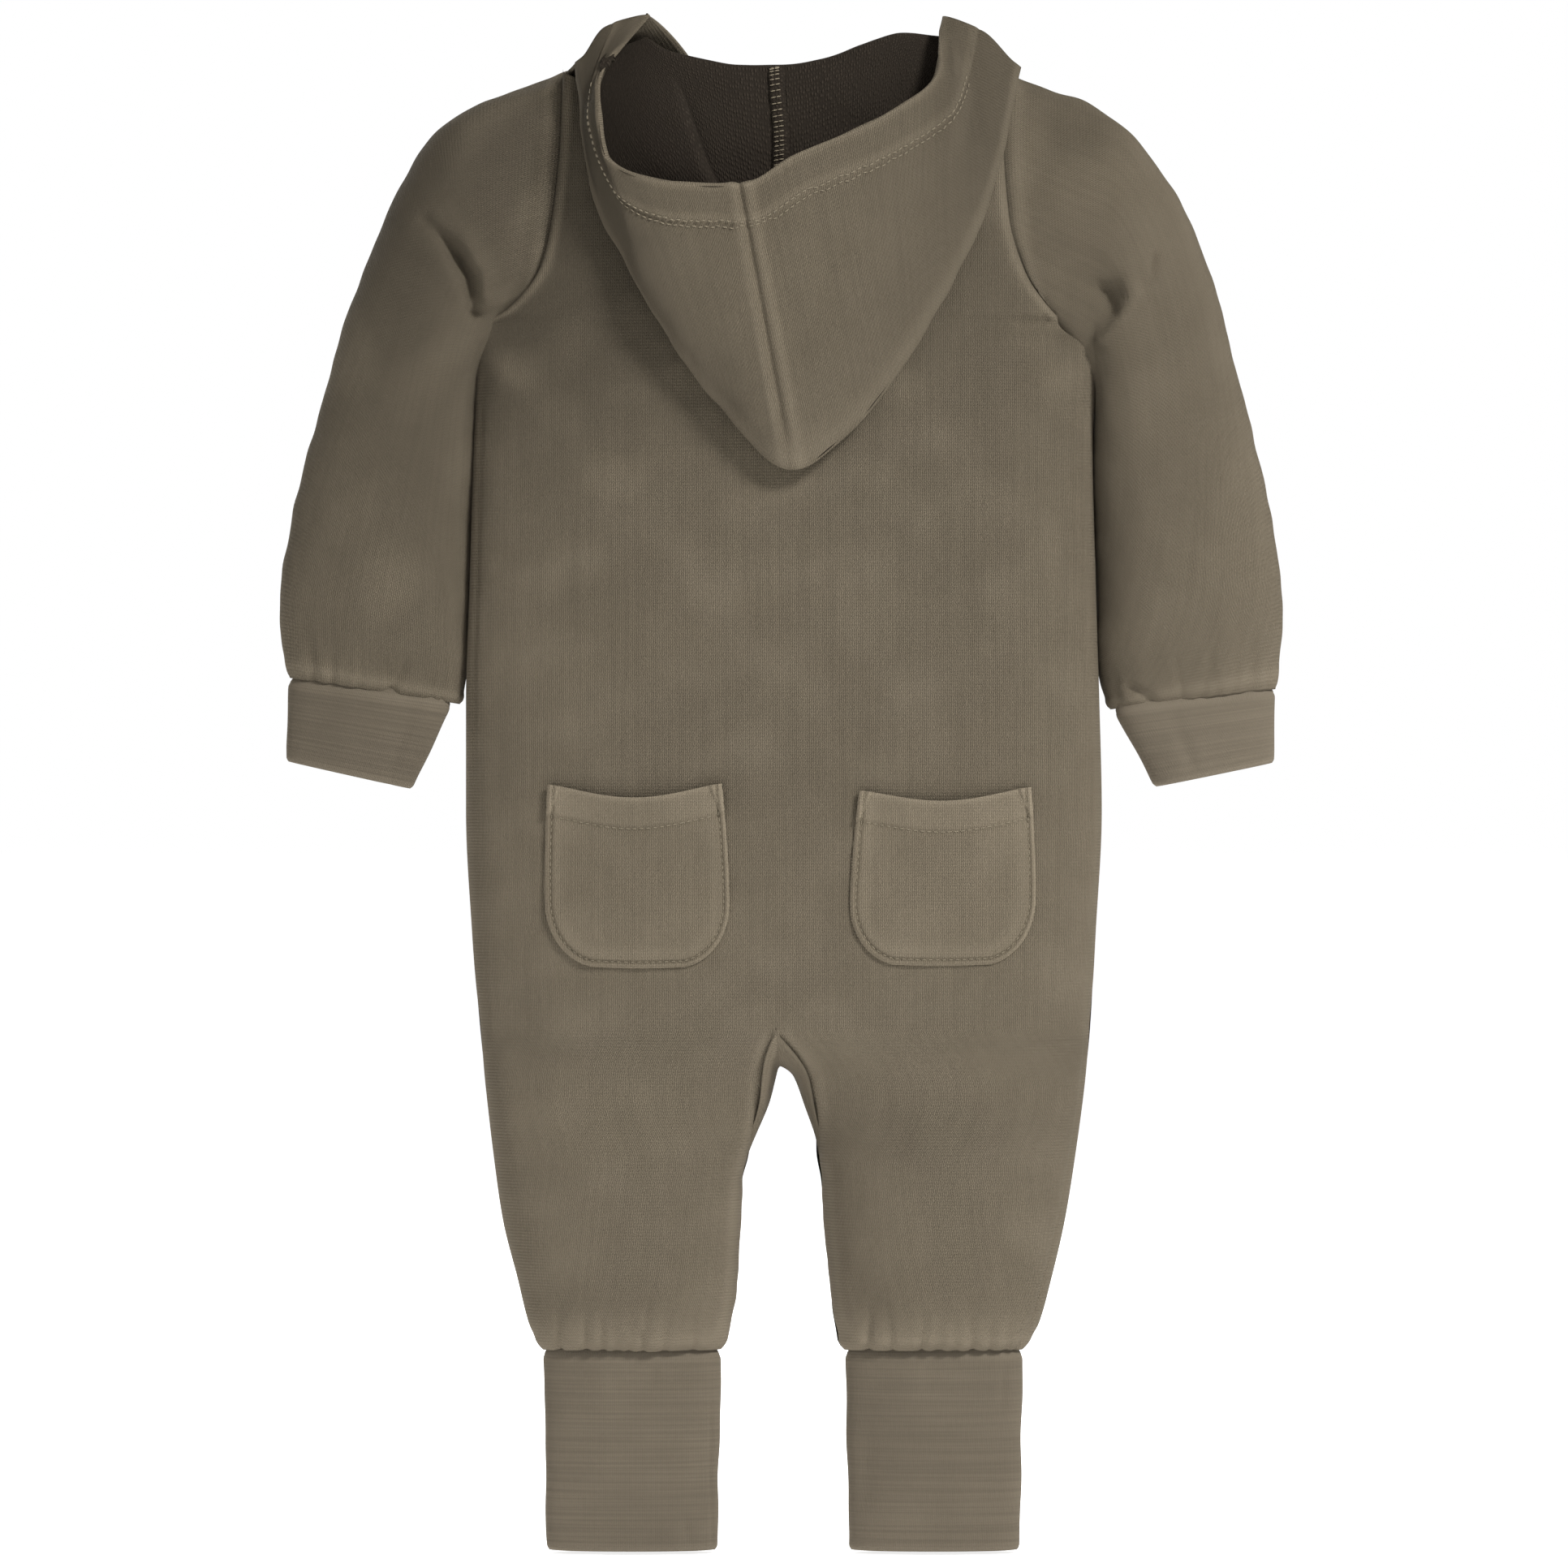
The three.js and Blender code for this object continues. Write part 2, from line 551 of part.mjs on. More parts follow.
// A channel over the chain with a hollow crown that the pull hangs from, cut as one profile.
function makeZipSlider() {
  const profile = new THREE.Shape();
  const back = TAPE_FACE + 0.4;
  profile.moveTo(-SLIDER.half, back);
  profile.lineTo(-SLIDER.half, SLIDER.face);
  profile.lineTo(SLIDER.half, SLIDER.face);
  profile.lineTo(SLIDER.half, back);
  profile.lineTo(SLIDER.half - 1.2, back);
  profile.lineTo(SLIDER.half - 1.2, SLIDER.face - 1.6);
  profile.lineTo(-SLIDER.half + 1.2, SLIDER.face - 1.6);
  profile.lineTo(-SLIDER.half + 1.2, back);
  profile.closePath();
  const channelDepth = SLIDER.high - SLIDER.low;
  const channel = new THREE.ExtrudeGeometry(profile, { depth: channelDepth, bevelEnabled: false });
  channel.translate(0, 0, SLIDER.low);
  const arch = new THREE.Shape();
  arch.moveTo(SLIDER.face - 0.4, CROWN_Z - 5);
  arch.lineTo(SLIDER.face + 4, CROWN_Z - 4);
  arch.lineTo(SLIDER.face + 4, CROWN_Z + 4);
  arch.lineTo(SLIDER.face - 0.4, CROWN_Z + 5);
  arch.closePath();
  const eye = new THREE.Path();
  eye.moveTo(SLIDER.face + 0.1, CROWN_Z - 3);
  eye.lineTo(SLIDER.face + 2.8, CROWN_Z - 2.6);
  eye.lineTo(SLIDER.face + 2.8, CROWN_Z + 2.6);
  eye.lineTo(SLIDER.face + 0.1, CROWN_Z + 3);
  eye.closePath();
  arch.holes.push(eye);
  const crown = new THREE.ExtrudeGeometry(arch, { depth: 2.4, bevelEnabled: false });
  crown.rotateY(Math.PI / 2);
  crown.rotateX(Math.PI / 2);
  crown.translate(-1.2, 0, 0);
  return { channel, crown };
}

function makeZipPull() {
  const outline = new THREE.Shape();
  outline.moveTo(-2.6, 0.7);
  outline.lineTo(2.6, 0.7);
  outline.quadraticCurveTo(3.4, -9, 3, -17);
  outline.quadraticCurveTo(2.6, -20, 0, -20);
  outline.quadraticCurveTo(-2.6, -20, -3, -17);
  outline.quadraticCurveTo(-3.4, -9, -2.6, 0.7);
  const eye = new THREE.Path();
  eye.moveTo(-1.7, -0.7);
  eye.lineTo(-1.7, -8);
  eye.lineTo(1.7, -8);
  eye.lineTo(1.7, -0.7);
  eye.closePath();
  outline.holes.push(eye);
  const options = { depth: 1, bevelEnabled: false, curveSegments: 4 };
  const geometry = welded(new THREE.ExtrudeGeometry(outline, options));
  geometry.rotateX(Math.PI / 2);
  geometry.translate(0, SLIDER.face + 1.4 + 0.5, CROWN_Z);
  return geometry;
}

function box(width, depth, height, x, y, z) {
  const geometry = welded(new THREE.BoxGeometry(width, depth, height));
  geometry.translate(x, y, z);
  return geometry;
}

// ---- inside trims -------------------------------------------------------------------------------
// A strip of tape against the inside of the back, between w0..w1 across and v0..v1 up.
function makeInsideStrip(w0, w1, v0, v1, offset, thickness, columns, rows) {
  const cloth = (u, v) => {
    const w = w0 + (w1 - w0) * u;
    return trunkPoint(w, v0 + (v1 - v0) * v, -1, middleDepth(v0 + (v1 - v0) * v).x, 9);
  };
  const surface = (u, v) => cloth(u, v).addScaledVector(normalAt(cloth, u, v), -offset);
  return facingOut(panel(surface, BACKWARD, columns, rows, thickness));
}

function makeHangerLoop() {
  const surface = (u, v) => {
    const turn = Math.PI * u;
    const reach = 12 + 5 * v;
    return point(-reach * Math.cos(turn), -14.5, 583 - 1.1 * reach * Math.sin(turn));
  };
  return facingOut(panel(surface, BACKWARD, 10, 1, 0.8));
}

// ---- joining with manifold-3d --------------------------------------------------------------------
async function joined(first, second) {
  const wasm = await Module();
  wasm.setup();
  const solid = (source) => {
    const geometry = welded(source);
    const vertProperties = new Float32Array(geometry.attributes.position.array);
    const triVerts = new Uint32Array(geometry.index.array);
    return new wasm.Manifold(new wasm.Mesh({ numProp: 3, vertProperties, triVerts }));
  };
  const result = solid(first).add(solid(second)).getMesh();
  const geometry = new THREE.BufferGeometry();
  geometry.setAttribute('position', new THREE.BufferAttribute(result.vertProperties, 3));
  geometry.setIndex(new THREE.BufferAttribute(result.triVerts, 1));
  geometry.computeVertexNormals();
  return geometry;
}

// ---- assembly ----------------------------------------------------------------------------------------
add('torso_back', facingOut(makeTrunkBack()), terry);
add('torso_front_left', makeTrunkFront(-1), terry);
add('torso_front_right', makeTrunkFront(1), terry);
for (const side of ['left', 'right']) {
  add(`${side}_sleeve`, makeSleeve(side), terry);
  add(`${side}_wrist_cuff`, makeWristCuff(side), rib);
  add(`${side}_leg_back`, makeLegHalf(side, -1), terry);
  add(`${side}_leg_front`, makeLegHalf(side, 1), terry);
  add(`${side}_ankle_cuff`, makeAnkleCuff(side), rib);
}
add('crotch_gusset', makeCrotchGusset(), terry);
add('left_pocket', makePocket(-59), terry);
add('right_pocket', makePocket(64), terry);
add('hood_left', makeHoodPanel(0, 0.493), terry);
add('hood_right', makeHoodPanel(0.507, 1), terry);
add('hood_hem_left', makeHoodHem(0, 0.493), terry);
add('hood_hem_right', makeHoodHem(0.507, 1), terry);
add('hood_centre_seam', makeHoodSeam(), terryBack);
add('hood_front_left', makeHoodFront(-1), terry);
add('hood_front_right', makeHoodFront(1), terry);
add('zip_tape_left', makeZipTape(-1), tapeCloth);
add('zip_tape_right', makeZipTape(1), tapeCloth);
add('zip_chain', makeZipChain(), brass);
const sliderParts = makeZipSlider();
add('zip_slider', await joined(sliderParts.channel, sliderParts.crown), brass);
add('zip_pull', makeZipPull(), brass);
const stopY = TAPE_FACE + 0.7;
add('zip_top_stop_left', box(1.8, 1, 2.5, -1.6, stopY + 0.8, ZIP_TOP + 1.8), brass);
add('zip_top_stop_right', box(1.8, 1, 2.5, 1.6, stopY + 0.8, ZIP_TOP + 1.8), brass);
add('zip_bottom_stop', box(4.2, 2, 2.6, 0, stopY, ZIP_BOTTOM + 2), brass);
add('zip_guard', box(24, 1.6, ZIP_TOP - HIP_Z + 4, 0, TAPE_FACE - 2.6, (ZIP_TOP + HIP_Z + 8) / 2), terry);
add('neck_tape', makeInsideStrip(-0.86, 0.86, 0.965, 0.995, CLOTH + 0.5, 0.8, 14, 1), tapeCloth);
add('hanger_loop', makeHangerLoop(), tapeCloth);
add('care_label', makeInsideStrip(-0.75, -0.6, 0.11, 0.17, CLOTH + 0.5, 0.6, 3, 3), label);

export default garment;
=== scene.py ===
import math
import random
import bpy
import bmesh
import numpy as np
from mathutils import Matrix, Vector


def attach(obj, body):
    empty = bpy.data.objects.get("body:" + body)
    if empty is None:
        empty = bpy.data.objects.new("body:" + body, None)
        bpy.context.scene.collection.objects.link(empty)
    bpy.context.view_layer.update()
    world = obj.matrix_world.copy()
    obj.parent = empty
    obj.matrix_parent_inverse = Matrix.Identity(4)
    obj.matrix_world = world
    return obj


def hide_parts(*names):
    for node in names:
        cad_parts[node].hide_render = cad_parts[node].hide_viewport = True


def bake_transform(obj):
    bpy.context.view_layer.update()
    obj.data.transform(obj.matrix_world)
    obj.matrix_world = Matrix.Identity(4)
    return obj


# A baby's hooded one-piece in faded French terry. Lengths in this script are millimetres until
# a mesh is made; the frame and every finished mesh are in metres.
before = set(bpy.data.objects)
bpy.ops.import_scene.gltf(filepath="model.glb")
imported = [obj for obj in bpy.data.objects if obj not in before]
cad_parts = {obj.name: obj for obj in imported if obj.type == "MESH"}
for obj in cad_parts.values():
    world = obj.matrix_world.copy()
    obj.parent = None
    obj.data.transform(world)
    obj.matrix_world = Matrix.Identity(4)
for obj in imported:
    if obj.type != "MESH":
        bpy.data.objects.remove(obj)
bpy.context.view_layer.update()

MM = 0.001
CLOTH = 1.4             # thickness of the terry
CUFF_CLOTH = 2.0        # doubled rib
CUFF_TUCK = 3.2         # how far a cuff reaches up inside its sleeve or leg
ROUND = 2.3             # exponent of the flattened cross-sections
BODY_DEPTH = 30.0       # half the filled depth of the trunk
ANKLE_SEAM = 81.0
SHOULDER = 597.0        # shoulder end of the raglan seams
ARMPIT = 492.0          # below this the sides of the trunk are free of the sleeves


# ---- curves and soft shapes -------------------------------------------------------------------
def through(places, values):
    """A smooth curve through the values, without overshoot."""
    x = np.asarray(places, float)
    y = np.asarray(values, float)
    step = np.diff(x)
    slope = np.diff(y) / step
    tangent = np.zeros_like(y)
    for k in range(1, len(x) - 1):
        if slope[k - 1] * slope[k] > 0:
            a = 2 * step[k] + step[k - 1]
            b = step[k] + 2 * step[k - 1]
            tangent[k] = (a + b) / (a / slope[k - 1] + b / slope[k])
    tangent[0] = slope[0]
    tangent[-1] = slope[-1]

    def value(t):
        t = np.clip(np.asarray(t, float), x[0], x[-1])
        k = np.clip(np.searchsorted(x, t, side="right") - 1, 0, len(x) - 2)
        h = step[k]
        s = (t - x[k]) / h
        return ((1 + 2 * s) * (1 - s) ** 2 * y[k] + s * (1 - s) ** 2 * h * tangent[k]
                + s * s * (3 - 2 * s) * y[k + 1] + s * s * (s - 1) * h * tangent[k + 1])
    return value


def path3(places, points):
    """A curve in space through the points."""
    points = np.asarray(points, float)
    curves = [through(places, points[:, k]) for k in range(3)]
    return lambda t: np.stack([curve(t) for curve in curves], axis=-1)


def ramp(low, high, t):
    s = np.clip((np.asarray(t, float) - low) / (high - low), 0, 1)
    return s * s * (3 - 2 * s)


def swell(w):
    return np.clip(1 - np.abs(w) ** ROUND, 0, 1) ** (1 / ROUND)


def distance(x, z, line):
    """Distance from each (x, z) to a polyline, and how far along it the nearest point is."""
    best = np.full(np.shape(x), 1e9)
    along = np.zeros(np.shape(x))
    count = len(line) - 1
    for k in range(count):
        (ax, az), (bx, bz) = line[k], line[k + 1]
        dx, dz = bx - ax, bz - az
        t = np.clip(((x - ax) * dx + (z - az) * dz) / (dx * dx + dz * dz), 0, 1)
        d = np.hypot(x - ax - t * dx, z - az - t * dz)
        nearer = d < best
        best = np.where(nearer, d, best)
        along = np.where(nearer, (k + t) / count, along)
    return best, along


def ridge(x, z, line, width, height, start=0.0, finish=0.0):
    """A soft fold along a line; start and finish are its heights at the ends, as shares."""
    d, along = distance(x, z, line)
    share = np.where(along < 0.5, start + (1 - start) * ramp(0, 0.5, along),
                     finish + (1 - finish) * ramp(1, 0.5, along))
    return height * share * np.exp(-(d / width) ** 2)


def waves(x, z, seed, count, scale, stretch=1.0):
    """Smooth unevenness: a sum of long sine waves in random directions, about -1 to 1."""
    draw = random.Random(seed)
    total = np.zeros(np.shape(x))
    for _ in range(count):
        turn = draw.uniform(0, math.pi)
        pitch = scale * draw.uniform(0.6, 1.7)
        phase = draw.uniform(0, 2 * math.pi)
        total += np.sin((x * math.cos(turn) * stretch + z * math.sin(turn)) * 2 * math.pi / pitch + phase)
    return total / math.sqrt(count)


# How dark the cloth is made, 0 to 1, partly unworn dye and partly painted shade from the light on the right
# and the hood: deepest over the shoulders, more so on the left.
DARK_DYE_AND_SHADE_HEIGHT = ([0, 300, 400, 470, 530, 575, 640], [0.0, 0.0, 0.10, 0.32, 0.62, 0.95, 0.95])
DARK_DYE_AND_SHADE_SIDE = ([-210, -150, -95, -60, 60, 100, 210], [0.95, 1.0, 0.95, 0.55, 0.30, 0.42, 0.30])


# ---- making cloth -------------------------------------------------------------------------------
def steps(count, ends=0.5):
    """Even steps from 0 to 1, drawn towards the ends by the share given."""
    t = np.linspace(0, 1, count + 1)
    return (1 - ends) * t + ends * (1 - np.cos(np.pi * t)) / 2


def normals_of(grid, wrap=False):
    if wrap:
        across = np.roll(grid, -1, axis=0) - np.roll(grid, 1, axis=0)
    else:
        across = np.gradient(grid, axis=0)
    along = np.gradient(grid, axis=1)
    n = np.cross(across, along)
    return n / np.maximum(np.linalg.norm(n, axis=-1, keepdims=True), 1e-9)


def lay_cloth(name, grid, flat, wear_and_shade, material, thickness=CLOTH, wrap=False, closed=True):
    """A sheet of cloth on a grid of points, with its flat place as UV and its wear, with painted shade and
    painted light added, as an attribute.
    """
    columns, rows = grid.shape[0], grid.shape[1]
    mesh = bpy.data.meshes.new(name)
    bm = bmesh.new()
    bmesh.ops.create_grid(bm, x_segments=(columns if wrap else columns - 1), y_segments=rows - 1, size=0.5)
    spots = np.array([v.co[:] for v in bm.verts])
    across = columns if wrap else columns - 1
    i = np.rint((spots[:, 0] + 0.5) * across).astype(int)
    j = np.rint((spots[:, 1] + 0.5) * (rows - 1)).astype(int)
    wrapped = i % columns
    places = grid[wrapped, j] * MM
    for vert, place in zip(bm.verts, places):
        vert.co = place
    uv = bm.loops.layers.uv.new("cloth")
    flat_at = np.concatenate([flat, flat[:1] + flat[-1:] - flat[-2:-1]]) if wrap else flat
    for face in bm.faces:
        for loop in face.loops:
            k = loop.vert.index
            loop[uv].uv = flat_at[i[k], j[k]]
    layer = bm.verts.layers.float.new("wear_and_shade")
    # Darker over the shoulders, more on the left and more again on the far left: partly unworn dye, partly
    # painted shade away from the light on the right.
    depth = through(*DARK_DYE_AND_SHADE_HEIGHT)(grid[..., 2]) * through(*DARK_DYE_AND_SHADE_SIDE)(grid[..., 0])
    depth = depth + 0.30 * ramp(-126, -150, grid[..., 0])
    # Paler towards the bottom, and paler on the right side as painted light from the lamp on the right.
    paler_low_lit_right = 0.14 * ramp(420, 150, grid[..., 2]) + 0.20 * ramp(126, 150, grid[..., 0])
    # The attribute: worn dye and painted light paler, unworn dye and painted shade darker.
    shade = np.clip(0.3 + 0.7 * (wear_and_shade + paler_low_lit_right) - 0.3 * depth, 0, 1)[wrapped, j]
    for vert, value in zip(bm.verts, shade):
        vert[layer] = float(value)
    if wrap:
        bmesh.ops.remove_doubles(bm, verts=bm.verts, dist=1e-6)
    for face in bm.faces:
        face.smooth = True
    bm.to_mesh(mesh)
    bm.free()
    mesh.materials.append(material)
    piece = bpy.data.objects.new(name, mesh)
    bpy.context.scene.collection.objects.link(piece)
    wall = piece.modifiers.new("wall", "SOLIDIFY")
    wall.thickness = thickness * MM
    wall.offset = -1
    wall.use_rim = closed
    return piece


# ---- trunk and legs: outlines seen from behind ---------------------------------------------------
# Side seams of the trunk and the outsides of the legs, by height.
LEFT_SIDE = through(
    [0, 30, 60, 80, 92, 110, 134, 162, 188, 212, 250, 300, 345, 395, 450, 482, 496.5, 501.5, 509, 520.5,
     541.5, 570, 597],
    [-96, -97, -97.6, -98.5, -103.5, -108, -114, -118, -121, -123.5, -126.5, -129, -129, -127.5, -126, -125,
     -124.4, -115, -106.5, -99, -94, -91, -90])
RIGHT_SIDE = through(
    [0, 30, 60, 80, 92, 110, 134, 162, 188, 212, 250, 300, 345, 395, 450, 474, 488.5, 495, 504.5, 518.5,
     541, 570, 597],
    [96, 97, 97.5, 98, 104, 109, 114.5, 119, 122.5, 125, 127, 129.5, 128.5, 127, 126, 127.5, 129, 118.5,
     108, 98.5, 92, 90, 91])
# Depth of the middle of the back, and of its edges as a share of it.
MIDDLE = through([78, 89, 107, 134, 162, 190, 212, 500, 520, 541, 570, 597],
                 [13.5, 19, 23.5, 26.5, 28, 29, 30, 30, 29.2, 28.4, 26.4, 21])
OPENING = through([488, 497, 501, 509, 520, 541, 570, 597], [0, 0.08, 0.4, 0.57, 0.66, 0.71, 0.67, 0.55])


# ---- folds the cloth lies in -----------------------------------------------------------------------
# Each is a line of (x, z), its width and its height; positive stands out from the body.
BACK_FOLDS = [
    ([(-145, 539), (-134, 528), (-126, 516), (-124.5, 502)], 2.6, -4.2, 0.3, 0.8),
    ([(-139, 543), (-129, 531), (-121, 517), (-121, 508)], 4.0, 2.0, 0.1, 0.5),
    ([(-150, 533), (-138, 520), (-131, 508)], 4.5, 1.4, 0.1, 0.3),
    ([(-125, 504), (-116, 507), (-104, 513)], 3.0, 1.7, 0.7, 0.0),
    ([(121, 536), (138, 517), (142, 508), (134, 497), (129, 491)], 3.0, 2.6, 0.1, 0.6),
    ([(124, 514), (131, 509), (133, 502)], 3.2, -3.2, 0.3, 0.7),
    ([(151, 528), (149, 517)], 1.8, -1.6, 0.1, 0.4),
    ([(146, 512), (150, 500), (150, 480)], 6.0, -1.2, 0.3, 0.0),
    ([(-124, 492), (-112, 478), (-98, 470)], 9.0, 1.6, 0.3, 0.0),
    ([(126, 486), (112, 474), (98, 468)], 9.0, 1.5, 0.3, 0.0),
    ([(-30, 216), (-12, 221), (-4, 214)], 7.0, 1.2, 0.0, 0.3),
    ([(34, 216), (12, 222), (3, 214)], 7.0, 1.1, 0.0, 0.3),
    ([(-104, 236), (-110, 214), (-106, 190)], 12.0, -1.3, 0.1, 0.0),
    ([(106, 240), (113, 216), (108, 190)], 12.0, -1.2, 0.1, 0.0),
]


def folds(x, z):
    total = np.zeros(np.shape(x))
    for line, width, height, start, finish in BACK_FOLDS:
        total += ridge(x, z, line, width, 1.5 * height, start, finish)
    return total


def ankle_gathers(x, z, left):
    """Small pleats where each leg is drawn into its cuff."""
    close = ramp(ANKLE_SEAM + 26, ANKLE_SEAM + 1, z)
    draw = random.Random(11 if left else 12)
    total = np.zeros(np.shape(x))
    spots = [-91, -80, -73, -67, -62, -57, -48, -36] if left else [34, 44, 56, 63, 70, 77, 84, 91]
    for spot in spots:
        width = draw.uniform(1.1, 2.0)
        lean = draw.uniform(-0.12, 0.12)
        depth = draw.uniform(0.9, 1.9)
        total -= depth * np.exp(-((x - spot - lean * (z - ANKLE_SEAM)) / width) ** 2)
    return total * close


# ---- knit and thread materials ---------------------------------------------------------------------
def shaded(colour, share):
    return tuple(share * v for v in colour)


def faded(colour):
    """The same cloth where its dye has worn away."""
    return tuple(1.36 * v + 0.012 for v in colour)


class Shader:
    """A material being wired up: number and colour steps, each returning its output."""

    def __init__(self, name, roughness, sheen, specular=0.2):
        self.material = bpy.data.materials.new(name)
        self.material.use_nodes = True
        self.tree = self.material.node_tree
        self.surface = self.tree.nodes["Principled BSDF"]
        self.surface.inputs["Roughness"].default_value = roughness
        self.surface.inputs["Specular IOR Level"].default_value = specular
        self.surface.inputs["Sheen Weight"].default_value = sheen
        self.surface.inputs["Sheen Roughness"].default_value = 0.5
        self.surface.inputs["Sheen Tint"].default_value = (0.62, 0.52, 0.38, 1)

    def link(self, value, socket):
        if isinstance(value, (int, float)):
            socket.default_value = value
        elif isinstance(value, tuple):
            socket.default_value = (*value, 1.0)[:len(socket.default_value)]
        else:
            self.tree.links.new(value, socket)

    def node(self, kind, **settings):
        made = self.tree.nodes.new(kind)
        for name, value in settings.items():
            setattr(made, name, value)
        return made

    def math(self, operation, a, b=0.0, c=0.0):
        made = self.node("ShaderNodeMath", operation=operation)
        for value, socket in zip((a, b, c), made.inputs):
            self.link(value, socket)
        return made.outputs[0]

    def blend(self, share, a, b):
        made = self.node("ShaderNodeMix", data_type="RGBA")
        self.link(share, made.inputs[0])
        self.link(a, made.inputs[6])
        self.link(b, made.inputs[7])
        return made.outputs[2]

    def span(self, value, low, high, to_low, to_high, smooth=False):
        made = self.node("ShaderNodeMapRange")
        if smooth:
            made.interpolation_type = "SMOOTHSTEP"
        for item, socket in zip((value, low, high, to_low, to_high), made.inputs):
            self.link(item, socket)
        return made.outputs[0]

    def noise(self, vector, scale, detail=2.0, rough=0.5):
        made = self.node("ShaderNodeTexNoise")
        self.link(vector, made.inputs["Vector"])
        made.inputs["Scale"].default_value = scale
        made.inputs["Detail"].default_value = detail
        made.inputs["Roughness"].default_value = rough
        return made.outputs["Fac"]

    def object_place(self):
        return self.node("ShaderNodeTexCoord").outputs["Object"]

    def flat_place(self):
        made = self.node("ShaderNodeUVMap", uv_map="cloth")
        split = self.node("ShaderNodeSeparateXYZ")
        self.link(made.outputs[0], split.inputs[0])
        return made.outputs[0], split.outputs[0], split.outputs[1]

    def wear_and_shade_from(self, colour, base):
        """The cloth's own colour at 0.3 on the attribute of wear and painted shade; deeper below it, for
        unworn dye and painted shade, and paler above, for worn dye and painted light.
        """
        wear_and_shade = self.node("ShaderNodeAttribute", attribute_name="wear_and_shade").outputs["Fac"]
        colour = self.blend(self.span(wear_and_shade, 0.0, 0.3, 0.0, 1.0), shaded(base, 0.45), colour)
        return self.blend(self.span(wear_and_shade, 0.3, 1.0, 0.0, 1.0), colour, faded(base))

    def finish(self, colour, height=None, depth=0.0003, strength=1.0):
        self.link(colour, self.surface.inputs["Base Color"])
        if height is not None:
            bump = self.node("ShaderNodeBump")
            bump.inputs["Distance"].default_value = depth
            bump.inputs["Strength"].default_value = strength
            self.link(height, bump.inputs["Height"])
            self.link(bump.outputs[0], self.surface.inputs["Normal"])
        return self.material


def knit_stitches(m, across, along, wale, course):
    """Height of V stitches in columns, 0 to 1; across and along are metres on the flat cloth."""
    columns = m.math("DIVIDE", across, wale)
    in_column = m.math("ABSOLUTE", m.math("SUBTRACT", m.math("FRACT", columns), 0.5))
    slanted = m.math("MULTIPLY_ADD", in_column, 0.9, m.math("DIVIDE", along, course))
    loop = m.math("ABSOLUTE", m.math("SUBTRACT", m.math("FRACT", slanted), 0.5))
    leg = m.math("SUBTRACT", 1.0, m.math("ABSOLUTE", m.math("MULTIPLY_ADD", in_column, 4.0, -1.0)))
    groove = m.span(leg, 0.0, 0.75, 0.0, 1.0, True)
    thread = m.span(loop, 0.0, 0.4, 1.0, 0.62, True)
    return m.math("MULTIPLY", groove, thread)


def terry(name, base, wale=0.00115, course=0.00125, depth=0.0005):
    """Outside of the French terry: fine V stitches, garment dye that has worn at seams and edges."""
    m = Shader(name, 0.93, 0.10, 0.1)
    place = m.object_place()
    flat, across, along = m.flat_place()
    drift = m.math("MULTIPLY", m.noise(flat, 900.0, 1.0), 0.0005)
    stitches = knit_stitches(m, m.math("ADD", across, drift), m.math("ADD", along, drift), wale, course)
    broad = m.noise(place, 9.0, 3.0, 0.6)
    cloudy = m.noise(place, 55.0, 3.0, 0.6)
    fuzz = m.noise(flat, 2600.0, 2.0)
    streak = m.node("ShaderNodeMapping")
    m.link(flat, streak.inputs["Vector"])
    streak.inputs["Scale"].default_value = (420.0, 14.0, 1.0)
    streaks = m.noise(streak.outputs[0], 1.0, 2.0)
    dark_dye_and_groove_shade = shaded(base, 0.40)
    colour = m.blend(m.span(broad, 0.35, 0.65, 0.0, 1.0), shaded(base, 0.9), shaded(base, 1.09))
    colour = m.blend(m.span(cloudy, 0.38, 0.66, 0.0, 0.22), colour, faded(base))
    colour = m.blend(m.span(streaks, 0.42, 0.62, 0.0, 0.14), colour, dark_dye_and_groove_shade)
    colour = m.blend(m.span(fuzz, 0.5, 0.75, 0.0, 0.3), colour, faded(base))
    # Painted shade: the grooves between the stitches are darkened in the colour.
    colour = m.blend(m.span(stitches, 0.05, 0.6, 0.85, 0.0), colour, dark_dye_and_groove_shade)
    colour = m.wear_and_shade_from(colour, base)
    height = m.math("MULTIPLY_ADD", fuzz, 0.35, stitches)
    return m.finish(colour, height, depth)


def terry_inside(name, base):
    """Inside of the terry: rows of small loops, unworn, with painted shade between the loops."""
    m = Shader(name, 0.96, 0.04, 0.05)
    flat, _, _ = m.flat_place()
    loops = m.node("ShaderNodeTexVoronoi")
    stretch = m.node("ShaderNodeMapping")
    m.link(flat, stretch.inputs["Vector"])
    stretch.inputs["Scale"].default_value = (870.0, 620.0, 1.0)
    m.link(stretch.outputs[0], loops.inputs["Vector"])
    loops.inputs["Scale"].default_value = 1.0
    loops.inputs["Randomness"].default_value = 0.45
    dots = m.span(loops.outputs["Distance"], 0.1, 0.6, 1.0, 0.0, True)
    cloudy = m.noise(m.object_place(), 40.0, 3.0)
    # Painted shade between the loops.
    colour = m.blend(dots, shaded(base, 0.55), shaded(base, 1.15))
    colour = m.blend(m.span(cloudy, 0.35, 0.65, 0.0, 0.3), colour, shaded(base, 0.75))
    return m.finish(colour, dots, 0.0005)


